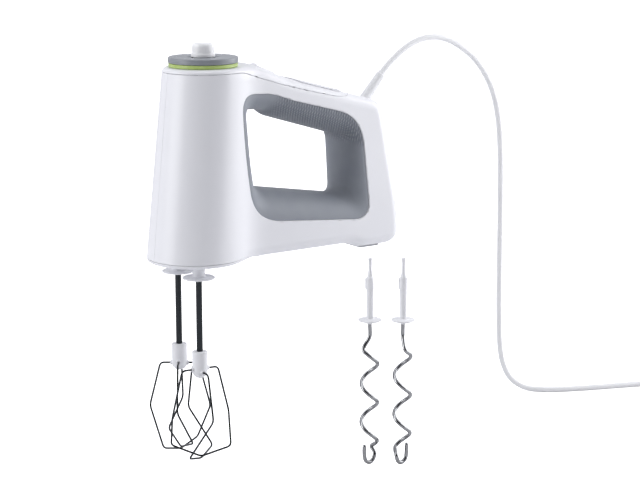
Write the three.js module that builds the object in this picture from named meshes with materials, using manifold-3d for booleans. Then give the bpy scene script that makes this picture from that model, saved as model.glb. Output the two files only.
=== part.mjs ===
// Electric hand mixer with two beaters, two dough hooks, a mains cord and plug.
// Millimetres, +Z up. The front of the housing points to -X, its handle and cord to +X,
// and its left side to +Y. Shapes are drawn with X from the dial's axis and Z from the
// housing's underside; the last group moves the centre of the hand grip to the origin.

import * as THREE from 'three';
import { mergeVertices } from 'three/addons/utils/BufferGeometryUtils.js';
import Module from 'manifold-3d';

const wasm = await Module();
wasm.setup();

// ---------- driving dimensions ----------

const GAP = 0.3; // clearance between pieces that touch
const WALL = 2; // housing wall
const FAR = 90; // half-size of a cutting block, past every face

// hand grip, the origin of the finished part
const GRIP_X = 86;
const GRIP_Z = 119;

// tower that holds the motor, an ellipse in plan that narrows upwards
const TOWER_TOP = 152;
const TOWER_BASE = { x: -10.2, along: 38, across: 39.2 };
const TOWER_HEAD = { x: 0, along: 32, across: 32 };
const SEAM_Z = 147; // where the top cover meets the shells around the tower
const BASE_PLATE_TOP = 3;

// handle frame behind the tower: corners are x, z and how far the corner's curve reaches
const FRAME_HALF_WIDTH = 25;
const FRAME_SIDE_INSET = 7;
const FRAME_ROUNDNESS = 3;
const HEEL_Z = -4.5;
const FRAME_OUTLINE = [
  [-4, TOWER_TOP - 1, 3],
  [43, 151, 9],
  [62, 142.6, 9],
  [160, 116.4, 9],
  [178.5, 27, 14],
  [180, HEEL_Z, 15],
  [139, HEEL_Z, 4],
  [128, 0, 4],
  [-4, 0, 3],
];
const COVER_SEAM = [
  [-60, SEAM_Z],
  [24, SEAM_Z],
  [36, 144],
  [74, 133.4],
  [122, 123.6],
  [151, 118.6],
  [200, 118.6],
  [200, 200],
  [-60, 200],
];

// finger opening: the outline at either side face and the smaller one at mid width
const OPENING_HALF_WIDTH = 24.5;
const OPENING_SIDE = [
  [19.8, 134.4, 10],
  [42, 129, 4],
  [60, 124.6, 8],
  [136.4, 105.9, 24],
  [146.5, 19.6, 17],
  [27, 30.6, 30],
];
const OPENING_MIDDLE = [
  [31, 118.4, 9],
  [41.5, 117, 3],
  [47, 112.4, 4],
  [127.2, 89.2, 8],
  [127.5, 40.5, 11],
  [36, 55.5, 12],
];
const LINER_THICKNESS = 1.8;

// controls on top
const DIAL_RADIUS = 27.5;
const DIAL_TOP = 159.5;
const DIAL_BOTTOM = 155.3;
const LIGHT_RING_TOP = 155;
const TURBO_X = 51.5;
const TURBO_Z = 146.9;
const TURBO_TILT = THREE.MathUtils.degToRad(21.4);

// tools under the tower
const TOOL_X = -16.5;
const TOOL_Y = 15.5;
const SHAFT_RADIUS = 2.5;
const SLEEVE_RADIUS = 5;
const DISC_Z = -12.4;
const DISC_RADIUS = 12.5;
const HUB_TOP = -71.5;
const HUB_LENGTH = 20;
const HUB_RADIUS = 5.25;
const WIRE_RADIUS = 0.8;
const FLOOR_Z = -164.5;

// gears, all module 1
const SPINDLE_TEETH = 31;
const IDLER_SMALL_TEETH = 12;
const IDLER_LARGE_TEETH = 25;
const PINION_TEETH = 9;
const MOTOR_X = 4;
const MOTOR_Y = 0;

// mains cord
const CORD_RADIUS = 2.5;
const RELIEF_START = [159, 0, 117];
const RELIEF_SLOPE = Math.atan2(19.3, 17.1);
const RELIEF_LENGTH = 27;
const COIL_RADIUS = 25;
const COIL_CENTRE = [463, -107];
const COIL_HALF_WIDTH = 7.7;
const COIL_HEIGHT = 10.2;

// ---------- geometry helpers ----------

const toVectors = (points) => points.map(([x, y]) => new THREE.Vector2(x, y));

function signedVolume(geometry) {
  const position = geometry.attributes.position;
  const corner = [0, 1, 2].map(() => new THREE.Vector3());
  let volume = 0;
  for (let i = 0; i < geometry.index.count; i += 3) {
    corner.forEach((c, k) => c.fromBufferAttribute(position, geometry.index.getX(i + k)));
    volume += corner[0].dot(corner[1].clone().cross(corner[2])) / 6;
  }
  return volume;
}

// keeps only merged positions, with every face pointing out
function clean(geometry) {
  const bare = geometry.clone();
  bare.deleteAttribute('normal');
  bare.deleteAttribute('uv');
  const merged = mergeVertices(bare, 1e-4);
  if (signedVolume(merged) < 0) {
    const index = merged.index.array;
    for (let i = 0; i < index.length; i += 3) {
      [index[i], index[i + 1]] = [index[i + 1], index[i]];
    }
  }
  return merged;
}

function toSolid(geometry) {
  const merged = clean(geometry);
  return new wasm.Manifold(
    new wasm.Mesh({
      numProp: 3,
      vertProperties: new Float32Array(merged.attributes.position.array),
      triVerts: new Uint32Array(merged.index.array),
    }),
  );
}

function toGeometry(solid) {
  const mesh = solid.getMesh();
  const geometry = new THREE.BufferGeometry();
  geometry.setAttribute('position', new THREE.BufferAttribute(mesh.vertProperties, 3));
  geometry.setIndex(new THREE.BufferAttribute(mesh.triVerts, 1));
  return geometry;
}

const joined = (...geometries) =>
  toGeometry(geometries.map(toSolid).reduce((all, solid) => all.add(solid)));

const cut = (geometry, ...cutters) =>
  toGeometry(cutters.map(toSolid).reduce((left, cutter) => left.subtract(cutter), toSolid(geometry)));

function quads(ringCount, ringSize, closedLoop) {
  const index = [];
  const last = closedLoop ? ringCount : ringCount - 1;
  for (let r = 0; r < last; r++) {
    for (let i = 0; i < ringSize; i++) {
      const a = r * ringSize + i;
      const b = r * ringSize + ((i + 1) % ringSize);
      const c = ((r + 1) % ringCount) * ringSize + i;
      const d = ((r + 1) % ringCount) * ringSize + ((i + 1) % ringSize);
      index.push(a, b, d, a, d, c);
    }
  }
  return index;
}

// skin over rings of equal size; flat(point) gives the cap's two in-plane coordinates
function loft(rings, flat) {
  const size = rings[0].length;
  const outline = rings[0].map(flat);
  const clockwise = THREE.ShapeUtils.isClockWise(outline);
  const end = (rings.length - 1) * size;
  const index = quads(rings.length, size, false);
  for (const [a, b, c] of THREE.ShapeUtils.triangulateShape(outline, [])) {
    const [p, q] = clockwise ? [b, a] : [a, b];
    index.push(q, p, c, end + p, end + q, end + c);
  }
  const geometry = new THREE.BufferGeometry().setFromPoints(rings.flat());
  geometry.setIndex(index);
  return geometry;
}

function ringLoop(rings) {
  const geometry = new THREE.BufferGeometry().setFromPoints(rings.flat());
  geometry.setIndex(quads(rings.length, rings[0].length, true));
  return geometry;
}

// moves every side of an outline inwards, or outwards where inset is negative
function insetCorners(corners, inset) {
  const turn = THREE.ShapeUtils.isClockWise(toVectors(corners)) ? -1 : 1;
  return corners.map(([x, z, reach], i) => {
    const before = corners[(i + corners.length - 1) % corners.length];
    const after = corners[(i + 1) % corners.length];
    const normals = [
      [x - before[0], z - before[1]],
      [after[0] - x, after[1] - z],
    ].map(([dx, dz]) => new THREE.Vector2(-dz, dx).normalize().multiplyScalar(turn));
    const sum = normals[0].clone().add(normals[1]);
    const scale = inset / (1 + normals[0].dot(normals[1]));
    return [x + sum.x * scale, z + sum.y * scale, Math.max(reach - inset / 2, 1)];
  });
}

// outline through rounded corners, with the same number of points at each
function roundedOutline(corners, perCorner) {
  const points = [];
  corners.forEach(([x, z, reach], i) => {
    const corner = new THREE.Vector2(x, z);
    const toward = (other) =>
      new THREE.Vector2(other[0] - x, other[1] - z).setLength(reach).add(corner);
    const start = toward(corners[(i + corners.length - 1) % corners.length]);
    const end = toward(corners[(i + 1) % corners.length]);
    const curve = new THREE.QuadraticBezierCurve(start, corner, end);
    points.push(...curve.getPoints(perCorner - 1));
  });
  return points;
}

// rounded block across Y: the outline at mid width eases into the one at each side
function acrossLoft(middle, side, halfWidth, roundness, stations) {
  const rings = [];
  for (let k = 0; k <= stations; k++) {
    const angle = Math.PI * (k / stations - 0.5);
    const across = Math.sign(angle) * Math.abs(Math.sin(angle)) ** (2 / roundness);
    const ease = 1 - Math.abs(Math.cos(angle)) ** (2 / roundness);
    rings.push(
      middle.map((m, i) => {
        const p = m.clone().lerp(side[i], ease);
        return new THREE.Vector3(p.x, halfWidth * across, p.y);
      }),
    );
  }
  return rings;
}

const sideView = (p) => new THREE.Vector2(p.x, p.z);
const planView = (p) => new THREE.Vector2(p.x, p.y);

// plate or block drawn in side view and extruded from one Y to another
function prismAcross(points, fromY, toY, holes = []) {
  const shape = new THREE.Shape(toVectors(points));
  shape.holes = holes.map((hole) => new THREE.Path(toVectors(hole)));
  const geometry = new THREE.ExtrudeGeometry(shape, { depth: toY - fromY, bevelEnabled: false });
  return geometry.rotateX(Math.PI / 2).translate(0, toY, 0);
}

// plate drawn in plan and extruded upwards
function plate(shape, fromZ, toZ, steps = 6) {
  const options = { depth: toZ - fromZ, bevelEnabled: false, curveSegments: steps };
  return new THREE.ExtrudeGeometry(shape, options).translate(0, 0, fromZ);
}

function block(x0, x1, y0, y1, z0, z1) {
  const geometry = new THREE.BoxGeometry(x1 - x0, y1 - y0, z1 - z0);
  return geometry.translate((x0 + x1) / 2, (y0 + y1) / 2, (z0 + z1) / 2);
}

// solid of revolution about Z from radius, height pairs that start and end on the axis
function turned(profile, sides) {
  return new THREE.LatheGeometry(toVectors(profile), sides).rotateX(Math.PI / 2);
}

// turned ring with a bore: the profile closes on itself
function turnedRing(inner, outer, fromZ, toZ, sides) {
  const profile = [[inner, fromZ], [outer, fromZ], [outer, toZ], [inner, toZ], [inner, fromZ]];
  return turned(profile, sides);
}

function rod(radius, fromZ, toZ, sides) {
  return turned([[0, fromZ], [radius, fromZ], [radius, toZ], [0, toZ]], sides);
}

const rodAcross = (radius, fromY, toY, sides) =>
  rod(radius, -toY, -fromY, sides).rotateX(Math.PI / 2);

function circlePoints(radius, sides, phase = 0) {
  return Array.from({ length: sides }, (_, i) => {
    const angle = phase + (2 * Math.PI * i) / sides;
    return [radius * Math.cos(angle), radius * Math.sin(angle)];
  });
}

// round tube along a curve
function tube(curve, radius, steps, sides) {
  const section = new THREE.Shape(toVectors(circlePoints(radius, sides)));
  return new THREE.ExtrudeGeometry(section, { steps, bevelEnabled: false, extrudePath: curve });
}

// straight runs joined by rounded bends
function bentPath(points, bend) {
  const path = new THREE.CurvePath();
  let from = points[0];
  for (let i = 1; i < points.length - 1; i++) {
    const corner = points[i];
    const enter = corner.clone().add(points[i - 1].clone().sub(corner).setLength(bend));
    const leave = corner.clone().add(points[i + 1].clone().sub(corner).setLength(bend));
    path.add(new THREE.LineCurve3(from, enter));
    path.add(new THREE.QuadraticBezierCurve3(enter, corner, leave));
    from = leave;
  }
  path.add(new THREE.LineCurve3(from, points[points.length - 1]));
  return path;
}

const at = ([x, y, z]) => new THREE.Vector3(x, y, z);

// ---------- materials ----------

const finish = (color, roughness, metalness = 0) =>
  new THREE.MeshStandardMaterial({ color, roughness, metalness });

const WHITE = finish(0xeef0f4, 0.25);
const SOFT_GREY = finish(0x7c838e, 0.6);
const DIAL_GREY = finish(0x5b616a, 0.45);
const LIME = finish(0xa5d03a, 0.3);
const CHROME = finish(0xc9ccd0, 0.12, 1);
const STEEL = finish(0xa9adb2, 0.35, 1);
const COPPER = finish(0xb8683a, 0.4, 1);
const BRONZE = finish(0xb08d57, 0.45, 1);
const NYLON = finish(0xe4e0d2, 0.5);
const DARK_PLASTIC = finish(0x33363a, 0.55);
const BOARD_GREEN = finish(0x2f6b46, 0.6);
const CARBON = finish(0x2a2a2c, 0.7);
const CORD_WHITE = finish(0xe9eaec, 0.5);

// ---------- the housing ----------

function towerSolid(inset, sides, fromZ, toZ, softened) {
  const ringAt = (z, extra) => {
    const t = z / TOWER_TOP;
    const x = THREE.MathUtils.lerp(TOWER_BASE.x, TOWER_HEAD.x, t);
    const along = THREE.MathUtils.lerp(TOWER_BASE.along, TOWER_HEAD.along, t) - inset - extra;
    const across = THREE.MathUtils.lerp(TOWER_BASE.across, TOWER_HEAD.across, t) - inset - extra;
    return circlePoints(1, sides).map(
      ([c, s]) => new THREE.Vector3(x + along * c, across * s, z),
    );
  };
  const heights = softened
    ? [[fromZ, 3.5], [1, 1.2], [4, 0], [SEAM_Z, 0], [150, 1.2], [toZ, 3.4]]
    : [[fromZ, 0], [toZ, 0]];
  return loft(heights.map(([z, extra]) => ringAt(z, extra)), planView);
}

function frameSolid(inset, perCorner, stations) {
  const middle = insetCorners(FRAME_OUTLINE, inset);
  const side = insetCorners(FRAME_OUTLINE, inset + FRAME_SIDE_INSET);
  const rings = acrossLoft(
    roundedOutline(middle, perCorner),
    roundedOutline(side, perCorner),
    FRAME_HALF_WIDTH - inset,
    FRAME_ROUNDNESS,
    stations,
  );
  return loft(rings, sideView);
}

function openingRings(outset, perCorner, stations) {
  return acrossLoft(
    roundedOutline(insetCorners(OPENING_MIDDLE, -outset), perCorner),
    roundedOutline(insetCorners(OPENING_SIDE, -outset), perCorner),
    OPENING_HALF_WIDTH,
    2,
    stations,
  );
}

// the opening's rings run on past both side faces
function openingCutter(outset, perCorner, stations) {
  const rings = openingRings(outset, perCorner, stations).reverse();
  const ends = [rings[0], rings[rings.length - 1]].map((ring) =>
    ring.map((p) => new THREE.Vector3(p.x, Math.sign(p.y) * FAR, p.z)),
  );
  return loft([ends[0], ...rings, ends[1]], sideView);
}

const OUTER = toSolid(towerSolid(0, 32, 0, TOWER_TOP, true)).add(toSolid(frameSolid(0, 4, 8)));
const CAVITY = toSolid(towerSolid(WALL, 24, BASE_PLATE_TOP + GAP, TOWER_TOP - WALL, false)).add(
  toSolid(frameSolid(WALL, 3, 6)),
);
const OPENING = toSolid(openingCutter(LINER_THICKNESS + GAP, 5, 8));
const SKIN = OUTER.subtract(CAVITY).subtract(OPENING);
const ABOVE_SEAM = toSolid(prismAcross(COVER_SEAM, -FAR, FAR));
const BELOW_SEAM_EDGE = toSolid(prismAcross(COVER_SEAM, -FAR, FAR).translate(0, 0, -GAP));
const BASE_ZONE = toSolid(towerSolid(-4, 32, -1, BASE_PLATE_TOP, false));
const BASE_ZONE_EDGE = toSolid(towerSolid(-4, 32, -1, BASE_PLATE_TOP + GAP, false));

// screw bosses between the two shells, x and z
const BOSSES = [[29, 127], [152, 103], [163, 12]];
const BOSS_RADIUS = 4;
const SCREW_RADIUS = 1.5;
const SCREW_HEAD_RADIUS = 3;

function reliefHole() {
  return rod(5.1, -14, 6, 16).rotateY(Math.PI / 2 - RELIEF_SLOPE).translate(...RELIEF_START);
}

// side is +1 for the left shell, which has the screw wells, and -1 for the right one
function shell(side) {
  const keep = side > 0 ? [GAP / 2, FAR] : [-FAR, -GAP / 2];
  const half = toSolid(block(-FAR * 2, FAR * 3, ...keep, -FAR, FAR * 3));
  let solid = SKIN.subtract(BELOW_SEAM_EDGE).subtract(BASE_ZONE_EDGE);
  for (const [x, z] of BOSSES) {
    const reach = FRAME_HALF_WIDTH - 0.6;
    const boss = rodAcross(BOSS_RADIUS, -reach, reach, 12).translate(x, 0, z);
    const pilot = rodAcross(SCREW_RADIUS + GAP, -reach + 3, 7, 10).translate(x, 0, z);
    const well = rodAcross(SCREW_HEAD_RADIUS + GAP, 7, FAR, 12).translate(x, 0, z);
    solid = solid.add(toSolid(boss)).subtract(toSolid(pilot)).subtract(toSolid(well));
  }
  return toGeometry(solid.intersect(half).subtract(OPENING).subtract(toSolid(reliefHole())));
}

function shellScrew(x, z) {
  const head = [[0, -10], [SCREW_HEAD_RADIUS, -10], [SCREW_HEAD_RADIUS, -7.3]];
  const stem = [[SCREW_RADIUS, -7.3], [SCREW_RADIUS, 14], [0, 16]];
  return turned([...head, ...stem], 10).rotateX(Math.PI / 2).translate(x, 0, z);
}

function inlayZone(margin) {
  const half = 15 - margin;
  const corners = [
    [66 + margin, -half, 6],
    [140 - margin, -half, 11],
    [140 - margin, half, 11],
    [66 + margin, half, 6],
  ];
  return toSolid(plate(new THREE.Shape(roundedOutline(corners, 5)), 100, 160));
}

function turboZone(margin, fromZ, toZ) {
  const corners = [
    [-11.5 + margin, -7.5 + margin, 4],
    [11.5 - margin, -7.5 + margin, 4],
    [11.5 - margin, 7.5 - margin, 4],
    [-11.5 + margin, 7.5 - margin, 4],
  ];
  return plate(new THREE.Shape(roundedOutline(corners, 4)), fromZ, toZ)
    .rotateY(TURBO_TILT)
    .translate(TURBO_X, 0, TURBO_Z);
}

function topCover() {
  const pocket = inlayZone(0).subtract(toSolid(frameSolid(1.5, 4, 8)));
  const stemHole = rod(10.2, 100, 170, 20);
  return toGeometry(
    SKIN.intersect(ABOVE_SEAM)
      .subtract(toSolid(stemHole))
      .subtract(toSolid(turboZone(0, -12, 12)))
      .subtract(pocket)
      .subtract(toSolid(reliefHole())),
  );
}

function handleInlay() {
  return toGeometry(
    toSolid(frameSolid(-0.3, 4, 8)).intersect(inlayZone(GAP)).subtract(
      toSolid(frameSolid(1.2, 4, 8)),
    ),
  );
}

function basePlate() {
  const openings = [-1, 1].map((side) =>
    rod(6.6, -5, 20, 16).translate(TOOL_X, side * TOOL_Y, 0),
  );
  const bosses = [-1, 1].map((side) =>
    turnedRing(6.6, 8.4, BASE_PLATE_TOP - 0.5, 8.4, 16).translate(TOOL_X, side * TOOL_Y, 0),
  );
  let solid = OUTER.intersect(BASE_ZONE);
  bosses.forEach((boss) => (solid = solid.add(toSolid(boss))));
  openings.forEach((opening) => (solid = solid.subtract(toSolid(opening))));
  return toGeometry(solid);
}

function gripLiner() {
  const inner = openingRings(0, 5, 8);
  const outer = openingRings(LINER_THICKNESS, 5, 8);
  return ringLoop([...inner, ...outer.reverse()]);
}

const heelFoot = () => block(142, 163, -17, 17, HEEL_Z - 1.5, HEEL_Z - GAP);

// ---------- controls ----------

function speedDial() {
  const grip = [
    [10, DIAL_BOTTOM], [DIAL_RADIUS - 0.3, DIAL_BOTTOM], [DIAL_RADIUS, DIAL_BOTTOM + 0.8],
    [DIAL_RADIUS, DIAL_TOP - 0.9], [DIAL_RADIUS - 0.9, DIAL_TOP], [12.5, DIAL_TOP],
    [11.6, DIAL_TOP - 0.7], [10, DIAL_TOP - 0.7], [10, DIAL_BOTTOM],
  ];
  return turned(grip, 32);
}

const lightRing = () => turnedRing(11, DIAL_RADIUS - 0.2, TOWER_TOP + GAP, LIGHT_RING_TOP, 32);

const dialSwitch = () => turnedRing(11, 22, 139, 144, 24);

function ejectButton() {
  const profile = [
    [0, 136], [4.2, 136], [4.2, 158], [9.8, DIAL_TOP + 1.2], [9.8, DIAL_TOP + 2.6],
    [8.5, DIAL_TOP + 3.2], [8.5, DIAL_TOP + 8.6], [7.6, DIAL_TOP + 10.2], [0, DIAL_TOP + 10.8],
  ];
  return turned(profile, 20);
}

// carries the button's push around the motor to both tools
function ejectorFork() {
  const corners = [
    [3, -5, 2], [4, 5, 2], [-14, TOOL_Y + 4, 2], [-21, TOOL_Y + 4, 2],
    [-21, TOOL_Y - 4, 2], [-12, 0, 2], [-21, -TOOL_Y + 4, 2], [-21, -TOOL_Y - 4, 2],
    [-14, -TOOL_Y - 4, 2],
  ];
  const bridge = plate(new THREE.Shape(roundedOutline(corners, 3)), 131.5, 135.7);
  const legs = [-1, 1].map((side) =>
    rod(2, 54.3, 132, 10).translate(TOOL_X, side * TOOL_Y, 0),
  );
  return joined(bridge, ...legs);
}

// helical return spring, drawn as its coil's outer tube
const ejectSpring = () => turnedRing(5, 6.6, 144.3, 158, 16);

function turboButton() {
  const pad = turboZone(0.4, -4, 2.4);
  const bump = new THREE.SphereGeometry(3.4, 12, 8)
    .translate(-5, 0, 0.6)
    .rotateY(TURBO_TILT)
    .translate(TURBO_X, 0, TURBO_Z);
  return joined(pad, bump);
}

const turboSwitch = () =>
  block(-7, 7, -4, 4, -12, -6.5).rotateY(TURBO_TILT).translate(TURBO_X, 0, TURBO_Z);

// ---------- motor ----------

function statorCore() {
  const outline = circlePoints(21, 32);
  const bore = Array.from({ length: 40 }, (_, i) => {
    const angle = (2 * Math.PI * i) / 40;
    const pole = Math.abs(Math.sin(angle)) > Math.sin(THREE.MathUtils.degToRad(72));
    const radius = pole ? 14.6 : 18.6;
    return [radius * Math.cos(angle), radius * Math.sin(angle)];
  });
  const shape = new THREE.Shape(toVectors(outline));
  shape.holes.push(new THREE.Path(toVectors(bore)));
  return plate(shape, 62, 94);
}

function fieldCoil(side) {
  const half = THREE.MathUtils.degToRad(62);
  const shape = new THREE.Shape();
  shape.absarc(0, 0, 18.1, -half, half, false);
  shape.absarc(0, 0, 15.1, half, -half, true);
  return plate(shape, 56, 100, 8).rotateZ(side > 0 ? 0 : Math.PI);
}

function armatureCore() {
  const slots = 12;
  const outline = Array.from({ length: slots * 4 }, (_, i) => {
    const radius = i % 4 < 2 ? 13.8 : 10.5;
    const angle = (2 * Math.PI * (Math.floor(i / 4) + [0, 0.62, 0.7, 0.92][i % 4])) / slots;
    return [radius * Math.cos(angle), radius * Math.sin(angle)];
  });
  const shape = new THREE.Shape(toVectors(outline));
  shape.holes.push(new THREE.Path(toVectors(circlePoints(5.3, 12))));
  return plate(shape, 63, 93);
}

// copper windings on a spool through the core
function armatureWinding() {
  const profile = [
    [2.8, 56], [9, 56], [11.5, 57.5], [11.5, 61], [9, 62.7], [5, 62.7],
    [5, 93.3], [9, 93.3], [11.5, 94.5], [9, 98], [2.8, 98], [2.8, 56],
  ];
  return turned(profile, 16);
}

// steel shaft with the pinion cut on its lower end
function motorShaft() {
  const shaft = turned([[0, 18], [2.6, 18], [2.5, 29], [2.5, 119], [0, 119]], 12);
  const teeth = plate(new THREE.Shape(toVectors(gearOutline(PINION_TEETH, PINION_PHASE))), ...REDUCTION_Z);
  return joined(shaft, teeth);
}

function coolingFan() {
  const count = 8;
  const blades = Array.from({ length: count }, (_, i) =>
    block(6, 17.3, -0.6, 0.6, 46, 53).rotateZ((2 * Math.PI * i) / count),
  );
  return joined(turnedRing(2.8, 17.5, 44, 46.5, 24), turnedRing(2.8, 6.5, 46, 53, 12), ...blades);
}

// ---------- gears ----------

// outline of a gear whose first tooth is centred on the angle given
function gearOutline(teeth, phase) {
  const pitchRadius = teeth / 2;
  const step = (2 * Math.PI) / teeth;
  const half = step * 0.235;
  const slope = 0.3 / pitchRadius;
  const points = [];
  for (let i = 0; i < teeth; i++) {
    const middle = phase + i * step;
    for (const [radius, angle] of [
      [pitchRadius - 1.15, middle - half - slope],
      [pitchRadius + 0.85, middle - half + slope],
      [pitchRadius + 0.85, middle + half - slope],
      [pitchRadius - 1.15, middle + half + slope],
    ]) {
      points.push([radius * Math.cos(angle), radius * Math.sin(angle)]);
    }
  }
  return points;
}

function gear(teeth, phase, boreRadius, fromZ, toZ) {
  const shape = new THREE.Shape(toVectors(gearOutline(teeth, phase)));
  shape.holes.push(new THREE.Path(toVectors(circlePoints(boreRadius, 12))));
  return plate(shape, fromZ, toZ);
}

// phase that puts a tooth gap of one gear over a tooth of its neighbour
function meshedPhase(teeth, towards, neighbourTeeth, neighbourPhase) {
  const neighbourStep = (2 * Math.PI) / neighbourTeeth;
  const offset = (towards + Math.PI - neighbourPhase) / neighbourStep;
  const step = (2 * Math.PI) / teeth;
  return towards + step / 2 + (offset - Math.floor(offset)) * step;
}

// where an axis stands at given distances from two others
function axisAt(first, firstDistance, second, secondDistance) {
  const line = second.clone().sub(first);
  const span = line.length();
  const along = (firstDistance ** 2 - secondDistance ** 2 + span ** 2) / (2 * span);
  const beside = Math.sqrt(firstDistance ** 2 - along ** 2);
  const unit = line.divideScalar(span);
  return new THREE.Vector2(
    first.x + unit.x * along + unit.y * beside,
    first.y + unit.y * along - unit.x * beside,
  );
}

const MOTOR_AXIS = new THREE.Vector2(MOTOR_X, MOTOR_Y);
const LEFT_AXIS = new THREE.Vector2(TOOL_X, TOOL_Y);
const IDLER_AXIS = axisAt(
  MOTOR_AXIS,
  (PINION_TEETH + IDLER_LARGE_TEETH) / 2,
  LEFT_AXIS,
  (SPINDLE_TEETH + IDLER_SMALL_TEETH) / 2,
);
const angleTo = (from, to) => Math.atan2(to.y - from.y, to.x - from.x);

const LEFT_PHASE = -Math.PI / 2;
const RIGHT_PHASE = meshedPhase(SPINDLE_TEETH, Math.PI / 2, SPINDLE_TEETH, LEFT_PHASE);
const SMALL_PHASE = meshedPhase(
  IDLER_SMALL_TEETH, angleTo(IDLER_AXIS, LEFT_AXIS), SPINDLE_TEETH, LEFT_PHASE,
);
const PINION_PHASE = meshedPhase(
  PINION_TEETH, angleTo(MOTOR_AXIS, IDLER_AXIS), IDLER_LARGE_TEETH, SMALL_PHASE,
);

const GEAR_Z = [10, 17];
const REDUCTION_Z = [18.7, 25.7];

function idlerGear() {
  return joined(
    gear(IDLER_SMALL_TEETH, SMALL_PHASE, 2.4, GEAR_Z[0] - 0.3, REDUCTION_Z[0] + 0.2),
    gear(IDLER_LARGE_TEETH, SMALL_PHASE, 2.4, ...REDUCTION_Z),
  );
}

// plate over the gears, following the inside of the tower; the idler turns on its pin
function gearPlate() {
  const shape = new THREE.Shape(
    circlePoints(1, 28).map(([c, s]) => new THREE.Vector2(-6.3 + 31.6 * c, 33.4 * s)),
  );
  const bores = [
    [MOTOR_AXIS, 5.3], [LEFT_AXIS, 5.8], [new THREE.Vector2(TOOL_X, -TOOL_Y), 5.8],
  ];
  bores.forEach(([axis, radius]) => {
    const circle = circlePoints(radius, 14).map(([x, y]) => new THREE.Vector2(axis.x + x, axis.y + y));
    shape.holes.push(new THREE.Path(circle));
  });
  const pin = rod(2, BASE_PLATE_TOP + GAP, 30, 12).translate(IDLER_AXIS.x, IDLER_AXIS.y, 0);
  return joined(plate(shape, 28.5, 32), pin);
}

// bridge over the motor, holding its upper bearing
function motorBracket() {
  const shape = new THREE.Shape(toVectors(circlePoints(20.5, 24)));
  shape.holes.push(new THREE.Path(toVectors(circlePoints(6.3, 16))));
  const feet = [-1, 1].map((side) =>
    block(-4, 4, side > 0 ? 18.7 : -20.5, side > 0 ? 20.5 : -18.7, 94.3, 112),
  );
  return joined(plate(shape, 110, 113), ...feet);
}

const bearing = (bore, outer, fromZ, toZ) => turnedRing(bore, outer, fromZ, toZ, 16);

// frame with the two carbon brushes' guides
function brushHolder() {
  const guides = [-1, 1].map((side) =>
    block(-3.5, 3.5, side > 0 ? 8.5 : -18, side > 0 ? 18 : -8.5, 101.2, 107),
  );
  return joined(turnedRing(12, 18.2, 104, 107, 24), ...guides);
}

// ---------- spindles and beaters ----------

// steel tube with its gear pressed on; the bore takes a tool's shaft
function spindle(phase) {
  return joined(turnedRing(2.9, 5.5, 4, 46, 14), gear(SPINDLE_TEETH, phase, 4.5, ...GEAR_Z));
}

const ejectorPin = () => rod(2.4, 30, 54, 12);

function beaterSleeve() {
  const profile = [
    [SHAFT_RADIUS + GAP, 1.6], [SLEEVE_RADIUS, 1.6], [SLEEVE_RADIUS, DISC_Z],
    [DISC_RADIUS - 1, DISC_Z], [DISC_RADIUS, DISC_Z - 0.6], [DISC_RADIUS - 0.6, DISC_Z - 1.3],
    [4.2, DISC_Z - 1.6], [3.8, DISC_Z - 3], [SHAFT_RADIUS + GAP, DISC_Z - 3],
    [SHAFT_RADIUS + GAP, 1.6],
  ];
  return turned(profile, 20);
}

const beaterShaft = () => rod(SHAFT_RADIUS, HUB_TOP - 15, 29.6, 12);

function beaterHub() {
  const low = HUB_TOP - HUB_LENGTH;
  const body = turned(
    [
      [0, low - 0.4], [2.4, low], [4.4, low + 1.8], [HUB_RADIUS, low + 4.5],
      [HUB_RADIUS, HUB_TOP - 0.8], [HUB_RADIUS - 0.8, HUB_TOP], [0, HUB_TOP],
    ],
    14,
  );
  return cut(body, rod(SHAFT_RADIUS + GAP, HUB_TOP - 15 - GAP, HUB_TOP + 5, 12));
}

// one bent wire of a beater, from the hub out, down, in and back up the other side
const STUB_Z = HUB_TOP - 13.5;
const LOOPS = [
  { start: 0, stubZ: STUB_Z, stubRadius: 15.5, lowRadius: 24, lowZ: -63.6, endZ: -72.7, twist: 30 },
  { start: 90, stubZ: STUB_Z - 1.6, stubRadius: 15.5, lowRadius: 20, lowZ: -69, endZ: -74.2, twist: 52 },
];
const KINK_RADIUS = 24.6;
const KINK_DROP = 37.5;

function wireLoop(loop, startAngle, turn) {
  const polar = (radius, angle, z) => {
    const a = THREE.MathUtils.degToRad(startAngle + turn * loop.start + angle);
    return new THREE.Vector3(radius * Math.cos(a), radius * Math.sin(a), z);
  };
  const half = (angle) => [
    polar(HUB_RADIUS + GAP, angle, loop.stubZ),
    polar(loop.stubRadius, angle, loop.stubZ),
    polar(KINK_RADIUS, angle, STUB_Z - KINK_DROP),
    polar(loop.lowRadius, angle - turn * loop.twist, STUB_Z + loop.lowZ),
  ];
  const bottom = polar(0, 0, STUB_Z + loop.endZ);
  const path = bentPath([...half(0), bottom, ...half(180).reverse()], 3.2);
  return tube(path, WIRE_RADIUS, 44, 5);
}

// ---------- dough hooks ----------

const HOOK_SPOTS = [
  { name: 'left', x: 92.8, y: -94.3, turn: 1 },
  { name: 'right', x: 114, y: -109.7, turn: -1 },
];
const HOOK_DISC_Z = -47.5;
const HOOK_ROD_RADIUS = 1.6;

function hookSleeve() {
  return turned(
    [
      [0, 2.4], [1.2, 2.4], [2, 1.4], [1.4, 0.8], [1.4, -9.2], [2.9, -12],
      [2.9, HOOK_DISC_Z + 1.2], [9, HOOK_DISC_Z + 0.8], [9.6, HOOK_DISC_Z],
      [9, HOOK_DISC_Z - 0.6], [2.6, HOOK_DISC_Z - 1], [2.4, HOOK_DISC_Z - 3], [0, HOOK_DISC_Z - 3],
    ],
    14,
  );
}

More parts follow.
